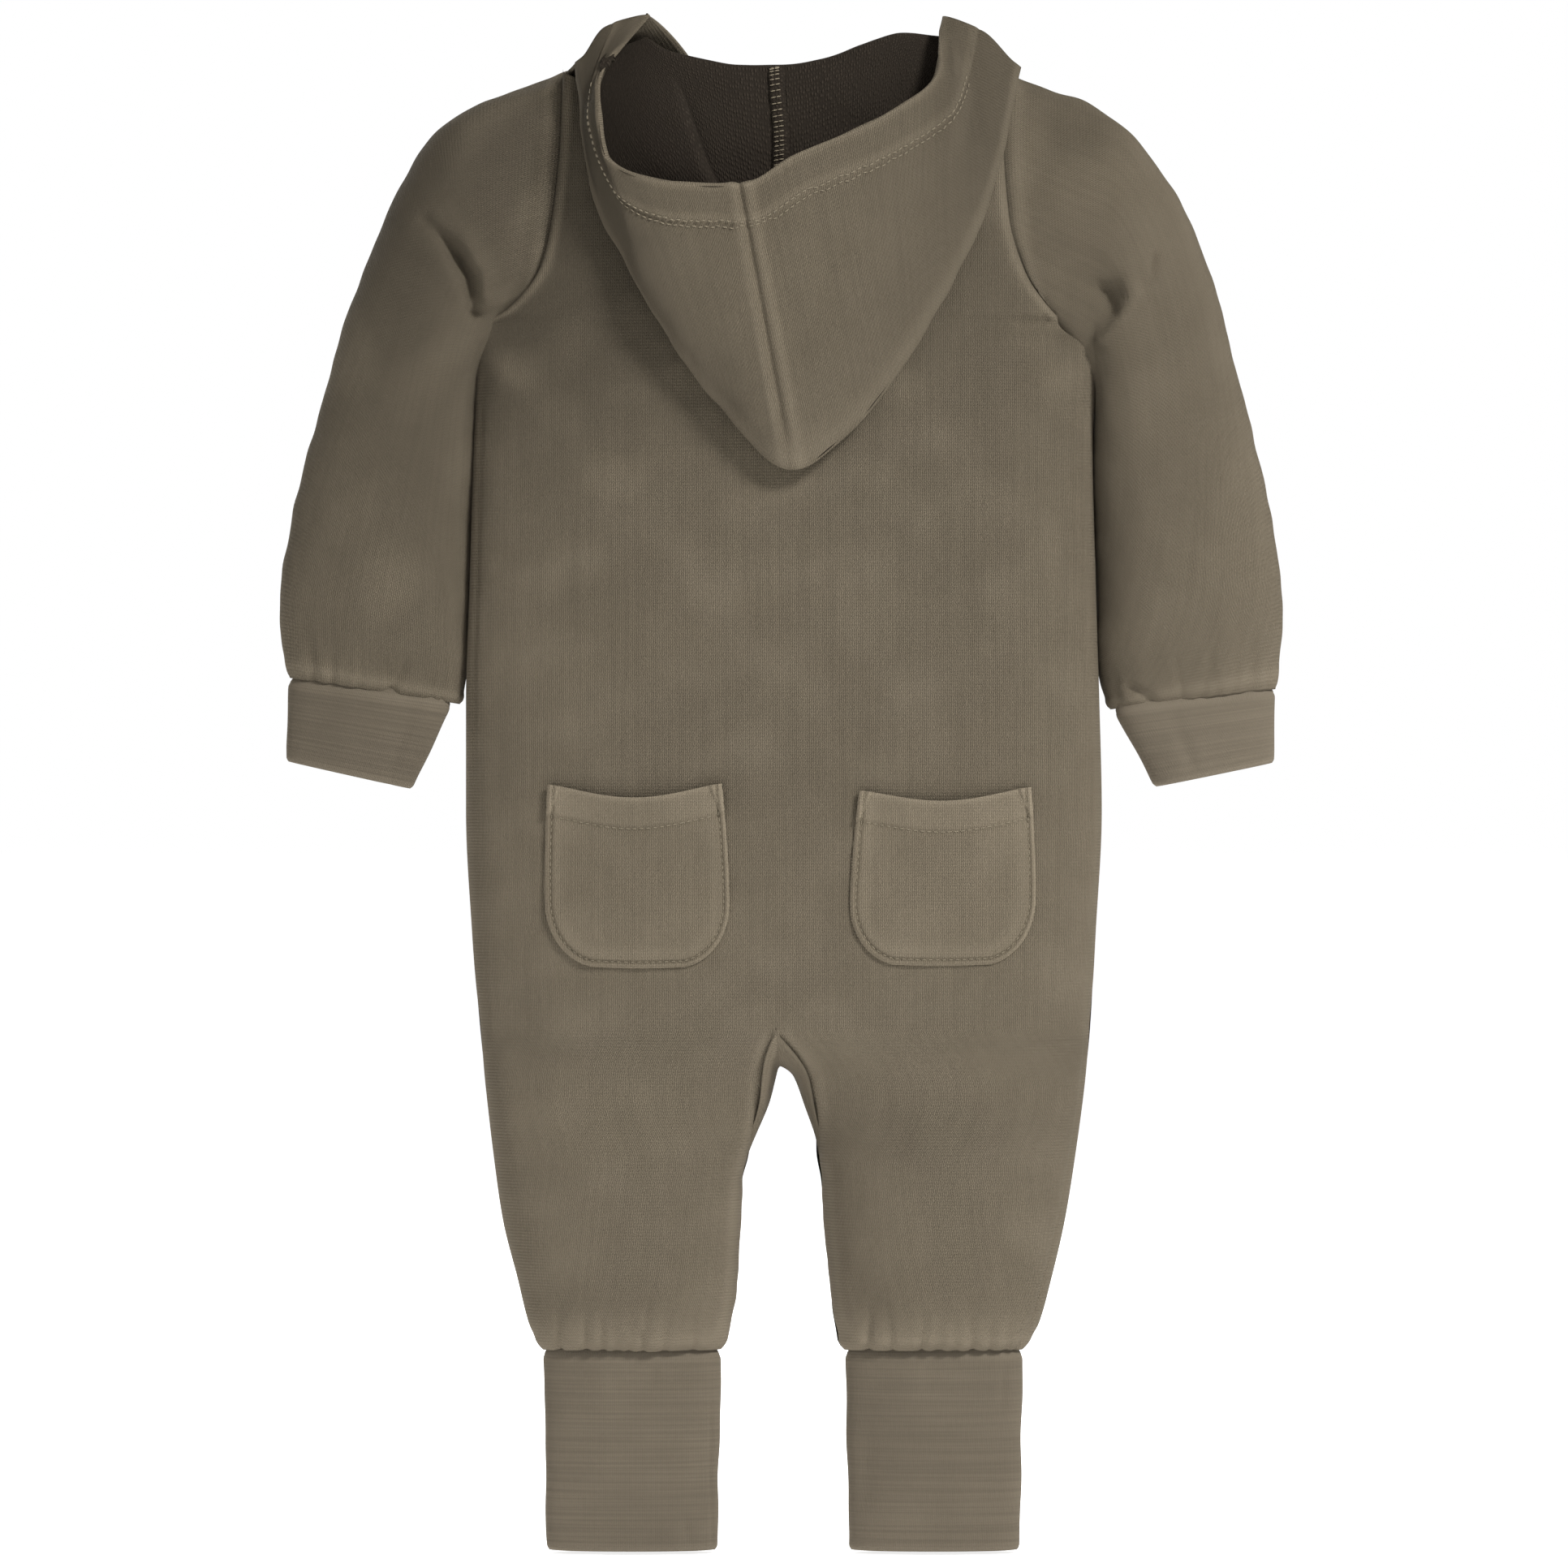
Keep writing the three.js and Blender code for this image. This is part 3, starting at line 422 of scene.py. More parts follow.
def rib(name, base):
    """Rib of the cuffs: fine courses across, narrow ribs along, paler where it is folded."""
    m = Shader(name, 0.92, 0.10, 0.1)
    flat, across, along = m.flat_place()
    ribs = m.math("ABSOLUTE", m.math("SUBTRACT", m.math("FRACT", m.math("DIVIDE", across, 0.0021)), 0.5))
    stitches = knit_stitches(m, across, along, 0.00105, 0.0012)
    courses = m.node("ShaderNodeMapping")
    m.link(flat, courses.inputs["Vector"])
    courses.inputs["Scale"].default_value = (9.0, 900.0, 1.0)
    lines = m.noise(courses.outputs[0], 1.0, 2.0)
    broad = m.noise(m.object_place(), 30.0, 3.0)
    colour = m.blend(m.span(broad, 0.35, 0.65, 0.0, 1.0), shaded(base, 0.92), shaded(base, 1.08))
    colour = m.blend(m.span(lines, 0.4, 0.6, 0.0, 0.5), colour, shaded(base, 0.62))
    # Painted shade: the grooves between the stitches are darkened in the colour.
    colour = m.blend(m.span(stitches, 0.05, 0.6, 0.45, 0.0), colour, shaded(base, 0.62))
    colour = m.wear_and_shade_from(colour, base)
    low_ribs = m.math("MULTIPLY", m.span(ribs, 0.05, 0.4, 0.0, 1.0), 0.15)
    height = m.math("ADD", m.math("MULTIPLY", stitches, 0.6), low_ribs)
    return m.finish(colour, height, 0.0003)


def thread(name, base):
    """Sewing thread: two twisted plies."""
    m = Shader(name, 0.7, 0.1, 0.35)
    wave = m.node("ShaderNodeTexWave", bands_direction="DIAGONAL")
    m.link(m.object_place(), wave.inputs["Vector"])
    wave.inputs["Scale"].default_value = 900.0
    # Painted shade: the colour darkens in the grooves of the twist, following the bump.
    colour = m.blend(wave.outputs["Fac"], shaded(base, 0.7), shaded(base, 1.15))
    return m.finish(colour, wave.outputs["Fac"], 0.0001)


OLIVE = (0.132, 0.109, 0.076)
TERRY = terry("faded_terry", OLIVE)
POCKET_TERRY = terry("pocket_terry", shaded(OLIVE, 1.16))
# Painted shade: the inside cloth is made very dark for the shade inside the hood and body, on cloth a little
# darker than the outside.
INSIDE_TERRY_IN_SHADE = terry_inside("looped_terry_painted_shade", (0.026, 0.0205, 0.0155))
RIB = rib("rib", (0.118, 0.098, 0.071))
SEWING = thread("sewing_thread", (0.185, 0.155, 0.105))


# ---- trunk and legs --------------------------------------------------------------------------------
CENTRE = -3.0           # the middle of the back, where the crotch seam ends
CROTCH = 209.0
LEFT_CROTCH = through([0, 50, 80, 89, 107, 134, 150, 160, 168, 177, 198, 206, 209, 213, 600],
                      [-26.7, -26.5, -24.2, -21.5, -18.6, -17.4, -16.2, -13.6, -11.6, -10.2, -7.6, -4.9,
                       -3.6, CENTRE, CENTRE])
RIGHT_CROTCH = through([0, 50, 80, 89, 107, 134, 150, 162, 172, 182, 193, 201, 206, 209, 213, 600],
                       [26.7, 26.5, 24.0, 21.5, 18.8, 16.4, 15.4, 13.5, 13.0, 12.2, 9.8, 5.0, 0.8, -1.8,
                        CENTRE, CENTRE])


def half_surface(left, back, u, z, split=0.0):
    """A point of one half of the trunk with its leg: u runs from the side seam (0) to the middle (1)."""
    outer = (LEFT_SIDE if left else RIGHT_SIDE)(z)
    inner = (LEFT_CROTCH if left else RIGHT_CROTCH)(z)
    inner = inner + split * (-1 if left else 1) * ramp(216, 225, z)
    leg = ramp(CROTCH + 3, 152, z)
    quarter = np.cos(u * math.pi / 2)
    full = np.cos(u * math.pi)
    power = 2 / ROUND
    to_middle = 1 - quarter ** power
    across_leg = (1 - np.sign(full) * np.abs(full) ** power) / 2
    x = outer + (inner - outer) * ((1 - leg) * to_middle + leg * across_leg)
    edge = MIDDLE(z) * OPENING(z)
    middle = MIDDLE(z) if back else np.where(z > 300, BODY_DEPTH, MIDDLE(z))
    body = edge + (middle - edge) * np.sin(u * math.pi / 2) ** power
    depth = (1 - leg) * body + leg * MIDDLE(z) * np.abs(np.sin(u * math.pi)) ** power
    return x, depth * (-1 if back else 1)


def edge_roll(gap):
    """A seam seen from outside: cloth dives into the stitching and stands up beside it."""
    return -0.85 * np.exp(-(gap / 1.1) ** 2) + 0.5 * np.exp(-((gap - 3.8) / 2.1) ** 2)


def seam_wear(gap):
    """How far the dye has worn beside a seam: most on the roll that stands up."""
    return 0.75 * np.exp(-((gap - 3.6) / 2.0) ** 2) + 0.25 * np.exp(-(gap / 9) ** 2)


def half_heights(rows):
    return np.linspace(ANKLE_SEAM, SHOULDER, rows)


def back_height(x, z, left):
    """How far the back stands out of its plain shape, in millimetres."""
    side = np.abs(x - (LEFT_SIDE if left else RIGHT_SIDE)(z))
    raglan = np.where(z > ARMPIT, edge_roll(side), 0.0)
    crotch = np.abs(x - (LEFT_CROTCH if left else RIGHT_CROTCH)(z))
    low = ramp(CROTCH + 4, CROTCH - 3, z) * ramp(138, 166, z)
    calm = 1 - np.exp(-(side / 7) ** 2)
    height = folds(x, z) + calm * (0.35 * waves(x, z, 3, 9, 60, 1.6) + 0.16 * waves(x, z, 5, 10, 17, 1.3))
    height += raglan + low * edge_roll(crotch + np.maximum(0, z - CROTCH))
    height += ankle_gathers(x, z, left) + edge_roll(z - ANKLE_SEAM)
    if left:
        height -= 0.7 * np.exp(-((side - 3.4) / 0.9) ** 2) * ramp(478, 455, z) * ramp(300, 330, z)
    else:
        height -= 0.8 * np.exp(-((side - 1.5 - 2.2 * ramp(200, 90, z)) / 0.9) ** 2) * ramp(215, 195, z)
    return height


def back_wear_and_shade(x, z, left):
    side = np.abs(x - (LEFT_SIDE if left else RIGHT_SIDE)(z))
    crotch = np.abs(x - (LEFT_CROTCH if left else RIGHT_CROTCH)(z))
    wear = 0.55 * seam_wear(z - ANKLE_SEAM) + 0.5 * np.exp(-((z - ANKLE_SEAM - 5) / 9) ** 2)
    wear += 0.5 * seam_wear(side) * ramp(485, 495, z) + 0.22 * np.exp(-(side / 3.0) ** 2) * ramp(495, 485, z)
    wear += 0.5 * seam_wear(crotch) * ramp(CROTCH + 8, CROTCH - 2, z)
    for line, width, height, start, finish in BACK_FOLDS:
        wear += 0.10 * ridge(x, z, line, width * 0.7, max(height, 0), start, finish)
    wear += 0.10 * np.clip(waves(x, z, 21, 8, 45), 0, 2) + 0.06 * ramp(330, 230, z)
    # Painted shade: the hood's shadow over the upper back, deeper on the left.
    wear -= ramp(400, 520, z) * (0.10 + 0.20 * ramp(70, -70, x))
    return np.clip(wear, -0.4, 0.85)


def flat_of(grid, middle="start"):
    """Where each point lies on the flat cloth, in metres, measured along the grid."""
    widths = np.linalg.norm(np.diff(grid, axis=0), axis=-1)
    u = np.concatenate([np.zeros((1, grid.shape[1])), np.cumsum(widths, axis=0)])
    if middle == "end":
        u = u - u[-1:]
    elif middle == "back":
        u = u - u[len(u) // 4]
    lengths = np.linalg.norm(np.diff(grid, axis=1), axis=-1).mean(axis=0)
    v = np.concatenate([[0.0], np.cumsum(lengths)])
    return np.stack([u, np.broadcast_to(v, u.shape)], axis=-1) * MM


def grid_area(grid, wrap=False):
    if wrap:
        grid = np.concatenate([grid, grid[:1]])
    a = np.diff(grid, axis=0)[:, :-1]
    b = np.diff(grid, axis=1)[:-1]
    return float(np.linalg.norm(np.cross(a, b), axis=-1).sum()) * MM * MM


def declare_cloth(grid, wrap=False):
    """Measures the width, length and area of a sheet over its own surface; the numbers are not kept."""
    loop = np.concatenate([grid, grid[:1]]) if wrap else grid
    width = float(np.linalg.norm(np.diff(loop, axis=0), axis=-1).sum(axis=0).max()) * MM
    length = float(np.linalg.norm(np.diff(loop, axis=1), axis=-1).sum(axis=1).mean()) * MM
    area = grid_area(grid, wrap)
    width = min(width, area / (0.45 * length))
    area = min(area, width * length)


def pushed(grid, height, wrap=False):
    return grid + normals_of(grid, wrap) * height[..., None]


def make_back_half(left):
    side = "left" if left else "right"
    z = half_heights(372)
    u = np.linspace(0, 1, 82)
    if not left:
        u = u[::-1]
    uu, zz = np.meshgrid(u, z, indexing="ij")
    x, y = half_surface(left, True, uu, zz)
    top = ramp(565, SHOULDER, zz)
    raised = np.stack([x, y, zz + 4 * top - 11 * top * np.sin(uu * math.pi / 2)], axis=-1)
    height = back_height(x, zz, left)
    grid = pushed(raised, height)
    straight = raised + np.stack([0 * height, -height, 0 * height], axis=-1)
    joined = (ramp(0.80, 0.95, uu) * ramp(CROTCH, CROTCH + 14, zz))[..., None]
    grid = grid * (1 - joined) + straight * joined
    flat = flat_of(raised, "end" if left else "start")
    flat[..., 1] = zz * MM
    piece = lay_cloth(f"back_{side}", grid, flat, back_wear_and_shade(x, zz, left), TERRY, closed=False)
    piece.data.materials.append(INSIDE_TERRY_IN_SHADE)
    piece.modifiers["wall"].material_offset = 1
    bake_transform(piece)
    declare_cloth(grid)
    return piece


def front_height(x, z, left):
    side = np.abs(x - (LEFT_SIDE if left else RIGHT_SIDE)(z))
    raglan = np.where(z > ARMPIT, edge_roll(side), 0.0)
    calm = 1 - np.exp(-(side / 7) ** 2)
    height = calm * (0.4 * waves(x, z, 13, 9, 60, 1.6) + 0.15 * waves(x, z, 15, 10, 17, 1.3))
    height += raglan + ankle_gathers(x, z, left) + edge_roll(z - ANKLE_SEAM)
    crotch = np.abs(x - (LEFT_CROTCH if left else RIGHT_CROTCH)(z))
    tucked = np.exp(-(side / 3.0) ** 2) * ramp(410, 380, z)
    tucked += np.exp(-(crotch / 3.0) ** 2) * ramp(CROTCH - 4, CROTCH - 14, z)
    return height - 0.3 * tucked


def make_front_half(left):
    side = "left" if left else "right"
    z = half_heights(250)
    u = np.linspace(0, 1, 62)
    if left:
        u = u[::-1]
    uu, zz = np.meshgrid(u, z, indexing="ij")
    x, y = half_surface(left, False, uu, zz, split=5.5)
    x = x - CENTRE * ramp(CROTCH - 6, CROTCH + 6, zz) * np.sin(uu * math.pi / 2)
    y = y - 1.3 * np.exp(-(y / 3.0) ** 2)
    low = zz - 38 * ramp(485, SHOULDER, zz) * np.sin(uu * math.pi / 2) ** (2 / ROUND)
    plain = np.stack([x, y, low], axis=-1)
    grid = pushed(plain, front_height(x, zz, left))
    piece = lay_cloth(f"front_{side}", grid, flat_of(plain, "start" if left else "end"),
                      np.clip(back_wear_and_shade(x, zz, left), 0, 0.5), TERRY, closed=False)
    piece.data.materials.append(INSIDE_TERRY_IN_SHADE)
    piece.modifiers["wall"].material_offset = 1
    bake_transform(piece)
    declare_cloth(grid)
    return piece


def make_gusset_half(left):
    """Half of the crotch gusset: it turns from the back seam, through the crotch, to the front seam."""
    side = "left" if left else "right"
    t = np.linspace(0, 1, 40)
    turn = np.linspace(-1, 1, 60)
    low = 160.0
    z = low + (CROTCH + 4 - low) * np.sin(t * math.pi / 2)
    crotch = LEFT_CROTCH if left else RIGHT_CROTCH
    seam_x = crotch(z)
    sink = 16.0 * ramp(0.35, 1.0, t) + 1.0
    open_x = seam_x + (1.0 if left else -1.0) * (4.2 * ramp(0, 0.45, t) * ramp(1.02, 0.75, t))
    depth = MIDDLE(z) * (1 - ramp(CROTCH + 3, 152, z)) - 1.0 * ramp(0.7, 1.0, t) + 0.8
    tt, angle = np.meshgrid(np.arange(len(t)), turn * math.pi / 2, indexing="ij")
    share = np.cos(angle)
    buried = (-2.2 if left else 2.2) * ramp(0.3, 0.0, t)
    x = seam_x[tt] + buried[tt] + (open_x[tt] - seam_x[tt]) * share
    y = depth[tt] * np.sin(angle)
    zz = z[tt] + 1.0 - sink[tt] * share
    grid = np.stack([x, y, zz], axis=-1)
    if not left:
        grid = grid[::-1]
    piece = lay_cloth(f"gusset_{side}", grid, flat_of(grid), 0.35 + 0 * share, TERRY)
    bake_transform(piece)
    declare_cloth(grid)
    return piece


back_left = make_back_half(True)
back_right = make_back_half(False)
front_left = make_front_half(True)
front_right = make_front_half(False)
gusset_left = make_gusset_half(True)
make_gusset_half(False)
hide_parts("torso_back", "left_leg_back")
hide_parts("right_leg_back")
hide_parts("torso_front_left", "left_leg_front")
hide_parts("torso_front_right", "right_leg_front")
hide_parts("crotch_gusset")


# ---- sleeves and cuffs -------------------------------------------------------------------------------
def ring(inner, outer, depth, t, shift=0.0):
    """A flattened ring from its inner to its outer (x, z), going round the back first."""
    turn = t * 2 * math.pi
    along = np.sign(np.cos(turn)) * np.abs(np.cos(turn)) ** (2 / ROUND)
    share = (1 - along) / 2
    x = inner[0] + (outer[0] - inner[0]) * share
    z = inner[1] + (outer[1] - inner[1]) * share
    y = -depth * np.sign(np.sin(turn)) * np.abs(np.sin(turn)) ** (2 / ROUND) + shift * (1 - share) ** 2
    return np.stack([x, y, z], axis=-1)


def armhole(left, t):
    """The raglan seam, from the armpit up the back, over the end at the neck and down the front."""
    side = LEFT_SIDE if left else RIGHT_SIDE
    armpit = 495.0 if left else 489.0
    share = 1 - np.abs(2 * t - 1)
    climb = share ** 1.15
    z = armpit + (598 - armpit) * np.minimum(1, climb * 1.04)
    inward = 1.0 if left else -1.0
    x = side(z) + inward * 1.6
    over = ramp(0.93, 1.0, share)
    y = MIDDLE(z) * OPENING(z) - 1.2
    y = np.maximum(y, 0) * (1 - over) * np.where(t < 0.5, -1, 1)
    return np.stack([x + inward * 6 * over, y, z + 4 * over], axis=-1)


SLEEVE_RINGS = {
    True: [((-123.6, 474), (-130, 584), 21), ((-124.8, 448), (-155, 556), 22),
           ((-126.2, 412), (-175.5, 505), 21), ((-127.4, 382), (-193.5, 445), 20),
           ((-128.4, 360), (-204.5, 385), 18), ((-131.6, 343.5), (-202, 354), 11.5)],
    False: [((126.4, 466), (128, 585.5), 21), ((125.4, 442), (156, 557), 22),
            ((125.8, 410), (175, 513), 21), ((127.0, 380), (192, 447), 20),
            ((128.0, 357), (202.5, 385), 18), ((131.6, 341), (201, 349.5), 11.5)],
}
SLEEVE_PLACES = [0, 0.13, 0.28, 0.47, 0.70, 0.90, 1.0]
SLEEVE_RUN = 215.0          # along a sleeve from the raglan seam to the cuff
WRISTS = {
    True: (((-134.5, 343), (-201.5, 352.8), 10.8), ((-151, 308.8), (-202, 320.2), 9)),
    False: (((134.6, 340.6), (200.3, 348.8), 10.8), ((151, 309.6), (199.5, 319.6), 9)),
}


def sleeve_height(grid, v, left):
    """Gathers at the cuff, the raglan ditch, and the folds of the armpit on the back side."""
    x, y, z = grid[..., 0], grid[..., 1], grid[..., 2]
    behind = ramp(4, -8, y)
    height = behind * folds(x, z) + 0.5 * waves(x, z, 31, 9, 55, 1.3) + 0.2 * waves(x, z, 33, 10, 18)
    height += edge_roll(v * SLEEVE_RUN) + edge_roll((1 - v) * SLEEVE_RUN)
    draw = random.Random(41 if left else 42)
    close = ramp(0.88, 0.995, v)
    for _ in range(9):
        spot = draw.uniform(134, 200) * (-1 if left else 1)
        lean = draw.uniform(-0.25, 0.25)
        fold = np.exp(-((x - spot - lean * (z - 346)) / draw.uniform(1.2, 2.4)) ** 2)
        height -= draw.uniform(0.4, 1.1) * close * fold
    tuck = [(-160, 346), (-155, 355), (-150, 366)] if left else [(141, 350), (146, 347), (153, 343)]
    height -= behind * ridge(x, z, tuck, 2.0, 2.0, 1.0, 0.0)
    return height


def make_sleeve(left):
    side = "left" if left else "right"
    t = np.linspace(0, 1, 181)[:-1]
    v = steps(150, 0.6)
    shifts = [4, 7, 7, 6, 5, 3]
    loops = [armhole(left, t)] + [ring(a, b, d, t, s) for (a, b, d), s in zip(SLEEVE_RINGS[left], shifts)]
    stack = np.stack(loops, axis=0)
    plain = np.zeros((len(t), len(v), 3))
    for column in range(len(t)):
        plain[column] = path3(SLEEVE_PLACES, stack[:, column])(v)
    if not left:
        plain = plain[::-1]
    vv = np.broadcast_to(v, plain.shape[:2])
    grid = pushed(plain, sleeve_height(plain, vv, left), wrap=True)
    wear = 0.45 * seam_wear(vv * SLEEVE_RUN) + 0.5 * seam_wear((1 - vv) * SLEEVE_RUN)
    wear += 0.10 * np.clip(waves(plain[..., 0], plain[..., 2], 51, 8, 45), 0, 2)
    piece = lay_cloth(f"sleeve_{side}", grid, flat_of(plain, "back"), np.clip(wear, 0, 0.8), TERRY,
                      wrap=True)
    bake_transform(piece)
    declare_cloth(grid, wrap=True)
    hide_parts(f"{side}_sleeve")


def make_cuff(name, node, body, top, bottom, creases, rows, left):
    """A doubled rib cuff: a tube with a rounded hem, pinched where it has creased."""
    t = np.linspace(0, 1, 121)[:-1]
    upper, lower = ring(*top, t), ring(*bottom, t)
    tuck = CUFF_TUCK / np.linalg.norm(upper - lower, axis=-1).mean()
    v = np.concatenate([[-tuck, -0.5 * tuck], np.linspace(0, 1, rows)])
    plain = upper[:, None] + (lower - upper)[:, None] * v[None, :, None]
    if not left:
        plain = plain[::-1]
    x, z = plain[..., 0], plain[..., 2]
    behind = np.where(plain[..., 1] < 0, 1.0, 0.4)
    length = np.linalg.norm(np.diff(plain, axis=1), axis=-1).sum(axis=1).mean()
    far = (1 - v) * length
    near = v * length
    drawn_in = 0.9 * np.exp(-(np.maximum(near, 0) / 1.6) ** 2) + 0.6 * np.maximum(-near, 0)
    height = np.broadcast_to(-0.8 * np.exp(-(far / 0.9) ** 2) - drawn_in, x.shape)
    height = height + 0.3 * waves(x, z, len(name), 8, 28) * ramp(0, 8, far)
    for line, width, tall in creases:
        height = height + behind * ridge(x, z, line, width, tall, 0.3, 0.8)
    grid = pushed(plain, height, wrap=True)
    wear = 0.45 * np.exp(-(far / 2.2) ** 2) + 0.3 * np.exp(-(near / 2.5) ** 2) + 0 * x
    piece = lay_cloth(name, grid, flat_of(plain, "back"), wear, RIB, CUFF_CLOTH, wrap=True)
    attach(piece, body)
    declare_cloth(grid, wrap=True)
    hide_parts(node)


make_sleeve(True)
make_sleeve(False)
make_cuff("wrist_cuff_left", "left_wrist_cuff", "left_sleeve", *WRISTS[True],
          [([(-150, 340), (-156, 325), (-160, 311)], 2.5, -0.9)], 44, True)
make_cuff("wrist_cuff_right", "right_wrist_cuff", "right_sleeve", *WRISTS[False],
          [([(158, 338), (163, 326), (166, 318)], 2.6, -0.8)], 44, False)
ANKLES = {True: (((-25.3, 80), (-97.6, 80), 12.8), ((-26.7, 0), (-96, 0), 12)),
          False: (((25.3, 80), (97.4, 80), 12.8), ((26.7, 0), (96, 0), 12))}
make_cuff("ankle_cuff_left", "left_ankle_cuff", "left_leg", *ANKLES[True],
          [([(-29.5, 78), (-29, 40), (-28.5, 2)], 1.0, -0.9), ([(-40, 14), (-38, 4)], 2.5, -1.1),
           ([(-70, 76), (-68, 66)], 2.2, -0.7), ([(-52, 77), (-53, 68)], 1.8, -0.6)], 84, True)
make_cuff("ankle_cuff_right", "right_ankle_cuff", "right_leg", *ANKLES[False],
          [([(90, 77), (89, 60)], 2.0, -0.7), ([(58, 77), (60, 68)], 2.0, -0.7),
           ([(34, 60), (33, 20)], 3.0, -0.5)], 84, False)


# ---- hood ----------------------------------------------------------------------------------------------
# Nine stations from the left peak to the right: the fold it hangs by, its rim and its neck seam.
HOOD_FOLD = [(-84, -24, 602), (-78.5, -31, 554), (-58.7, -35, 512), (-27, -37, 464), (3.4, -38, 437),
             (31.4, -37, 456.5), (61, -35, 499.5), (85, -31, 550.5), (96, -24, 600)]
HOOD_RIM = [(-54.5, -22, 621.5), (-73.6, -38, 591.5), (-70.5, -47, 562.5), (-43, -51, 551.5),
            (-17.5, -52, 551), (5.6, -51, 563), (39, -47, 578), (61.5, -38, 596.5), (65, -22, 620.5)]
HOOD_TOP = [(-56, -15, 612), (-47, -19, 606), (-31, -20, 602), (-18, -20, 600), (-2.6, -20, 600),
            (15, -20, 602.5), (31.5, -20, 608), (48, -18, 613), (63, -15, 612)]
HOOD_PLACES = [0.0, 0.10, 0.18, 0.36, 0.52, 0.60, 0.78, 1.0, 1.03, 1.13]


def hood_surface(k):
    """Points across the hood at station k: neck, down inside, round the fold, up to the rim, hem."""
    count = range(9)
    fold = path3(count, HOOD_FOLD)(k)
    rim = path3(count, HOOD_RIM)(k)
    top = path3(count, HOOD_TOP)(k)
    side = (np.abs(k - 4) / 4)[:, None]
    wide = side ** 2
    neck = top + np.concatenate([0 * side, 4 + 0 * side, -6 + 2 * wide], axis=1)
    inside = fold - top
    behind = top + 0.14 * inside
    behind[:, 1] = -27 + 10 * wide[:, 0]
    inner = top + 0.47 * inside
    inner[:, 1] = -33 + 14 * wide[:, 0]
    rise = rim - fold
    low = fold + 0.10 * rise
    low[:, 1] = fold[:, 1] - 5.5 + 2.5 * wide[:, 0]
    outer = fold + 0.5 * rise
    outer[:, 1] = -49.5 + 22 * wide[:, 0]
    outer = outer + np.concatenate([-3.0 * (k < 4)[:, None] * wide ** 2, 0 * wide, 4.0 * wide ** 2], axis=1)
    turned = rim + np.concatenate([0 * side, 2.6 + 0 * side, -0.4 + 0 * side], axis=1)
    hem = rim - 0.10 * rise
    hem[:, 1] = rim[:, 1] + 4.4
    return np.stack([neck, top, behind, inner, fold, low, outer, rim, turned, hem], axis=0)


def below_rim(grid, s):
    """Distance down the cloth from the rim, in millimetres."""
    run = np.cumsum(np.linalg.norm(np.diff(grid, axis=1), axis=-1), axis=1)
    run = np.concatenate([np.zeros((grid.shape[0], 1)), run], axis=1)
    rim = int(np.argmin(np.abs(s - 1)))
    return run[:, rim:rim + 1] - run


def hood_height(grid, s, k, down, left):
    """Soft folds, the hem's double cloth with its stitched groove, and the ridge of the centre seam."""
    x, z = grid[..., 0], grid[..., 2]
    outside = ramp(0.56, 0.66, s) * ramp(1.01, 0.99, s)
    height = outside * (0.7 * ramp(18.5, 16.0, down) - 0.85 * np.exp(-((down - 16.6) / 0.9) ** 2))
    height += 0.9 * waves(x, z, 61, 8, 75) * ramp(0.5, 0.62, s) * ramp(1.0, 0.93, s)
    height += 0.25 * waves(x, z, 63, 9, 22)
    seam = np.abs(k - 4) * 24
    height += outside * (-0.9 * np.exp(-(seam / 1.0) ** 2) + 0.9 * np.exp(-((seam - 3.2) / 2.2) ** 2))
    flap = x - through([545, 553, 570, 589, 615], [-24, -29, -35.6, -42, -52])(z)
    height -= 7.0 * ramp(1.4, -1.4, flap) * np.exp(-(flap / 22) ** 2) * ramp(0.5, 0.44, s) * ramp(600, 575, z)
    if left:
        height += outside * ridge(x, z, [(-60, 560), (-45, 535), (-30, 500)], 8, 1.6)
        height += outside * ridge(x, z, [(-78, 585), (-74, 560), (-62, 535)], 5, 1.2)
        height -= outside * ridge(x, z, [(-52, 549), (-36, 520), (-20, 480)], 9, 1.0)
    else:
        height += outside * ridge(x, z, [(66, 612), (68, 585), (65, 557)], 4.5, 2.6, 0.6, 0.1)
        height -= outside * ridge(x, z, [(76, 612), (78, 588), (74, 562)], 5.5, 2.0, 0.4, 0.1)
        height += outside * ridge(x, z, [(20, 555), (34, 530), (40, 505)], 10, 1.2)
        height -= outside * ridge(x, z, [(12, 540), (14, 505), (10, 470)], 9, 1.1)
    return height


def make_hood_half(left):
    side = "left" if left else "right"
    t = np.linspace(0, 1, 110) if left else np.linspace(1, 0, 110)
    towards_seam = 4 * np.sin(t * math.pi / 2) ** 1.15
    k = towards_seam if left else 8 - towards_seam
    s = np.concatenate([np.linspace(0, 0.48, 50)[:-1], np.linspace(0.48, 0.64, 26)[:-1],
                        np.linspace(0.64, 0.96, 70)[:-1], np.linspace(0.96, 1.13, 30)])
    stack = hood_surface(k)
    plain = np.stack([path3(HOOD_PLACES, stack[:, column])(s) for column in range(len(k))], axis=0)
    kk, ss = np.meshgrid(k, s, indexing="ij")
    down = below_rim(plain, s)
    grid = pushed(plain, hood_height(plain, ss, kk, down, left))
    wear = 0.5 * np.exp(-(down / 2.2) ** 2) + 0.3 * np.exp(-((down - 14.5) / 2) ** 2)
    wear += 0.35 * np.exp(-((np.abs(kk - 4) * 24 - 3.2) / 2.0) ** 2)
    wear += 0.3 * np.exp(-((ss - 0.56) / 0.03) ** 2)
    piece = lay_cloth(f"hood_half_{side}", grid, flat_of(plain, "end" if left else "start"),
                      np.clip(wear, 0, 0.8), TERRY)
    piece.data.materials.append(INSIDE_TERRY_IN_SHADE)
    piece.modifiers["wall"].material_offset = 1
    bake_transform(piece)
    declare_cloth(grid)
    return piece, grid, down


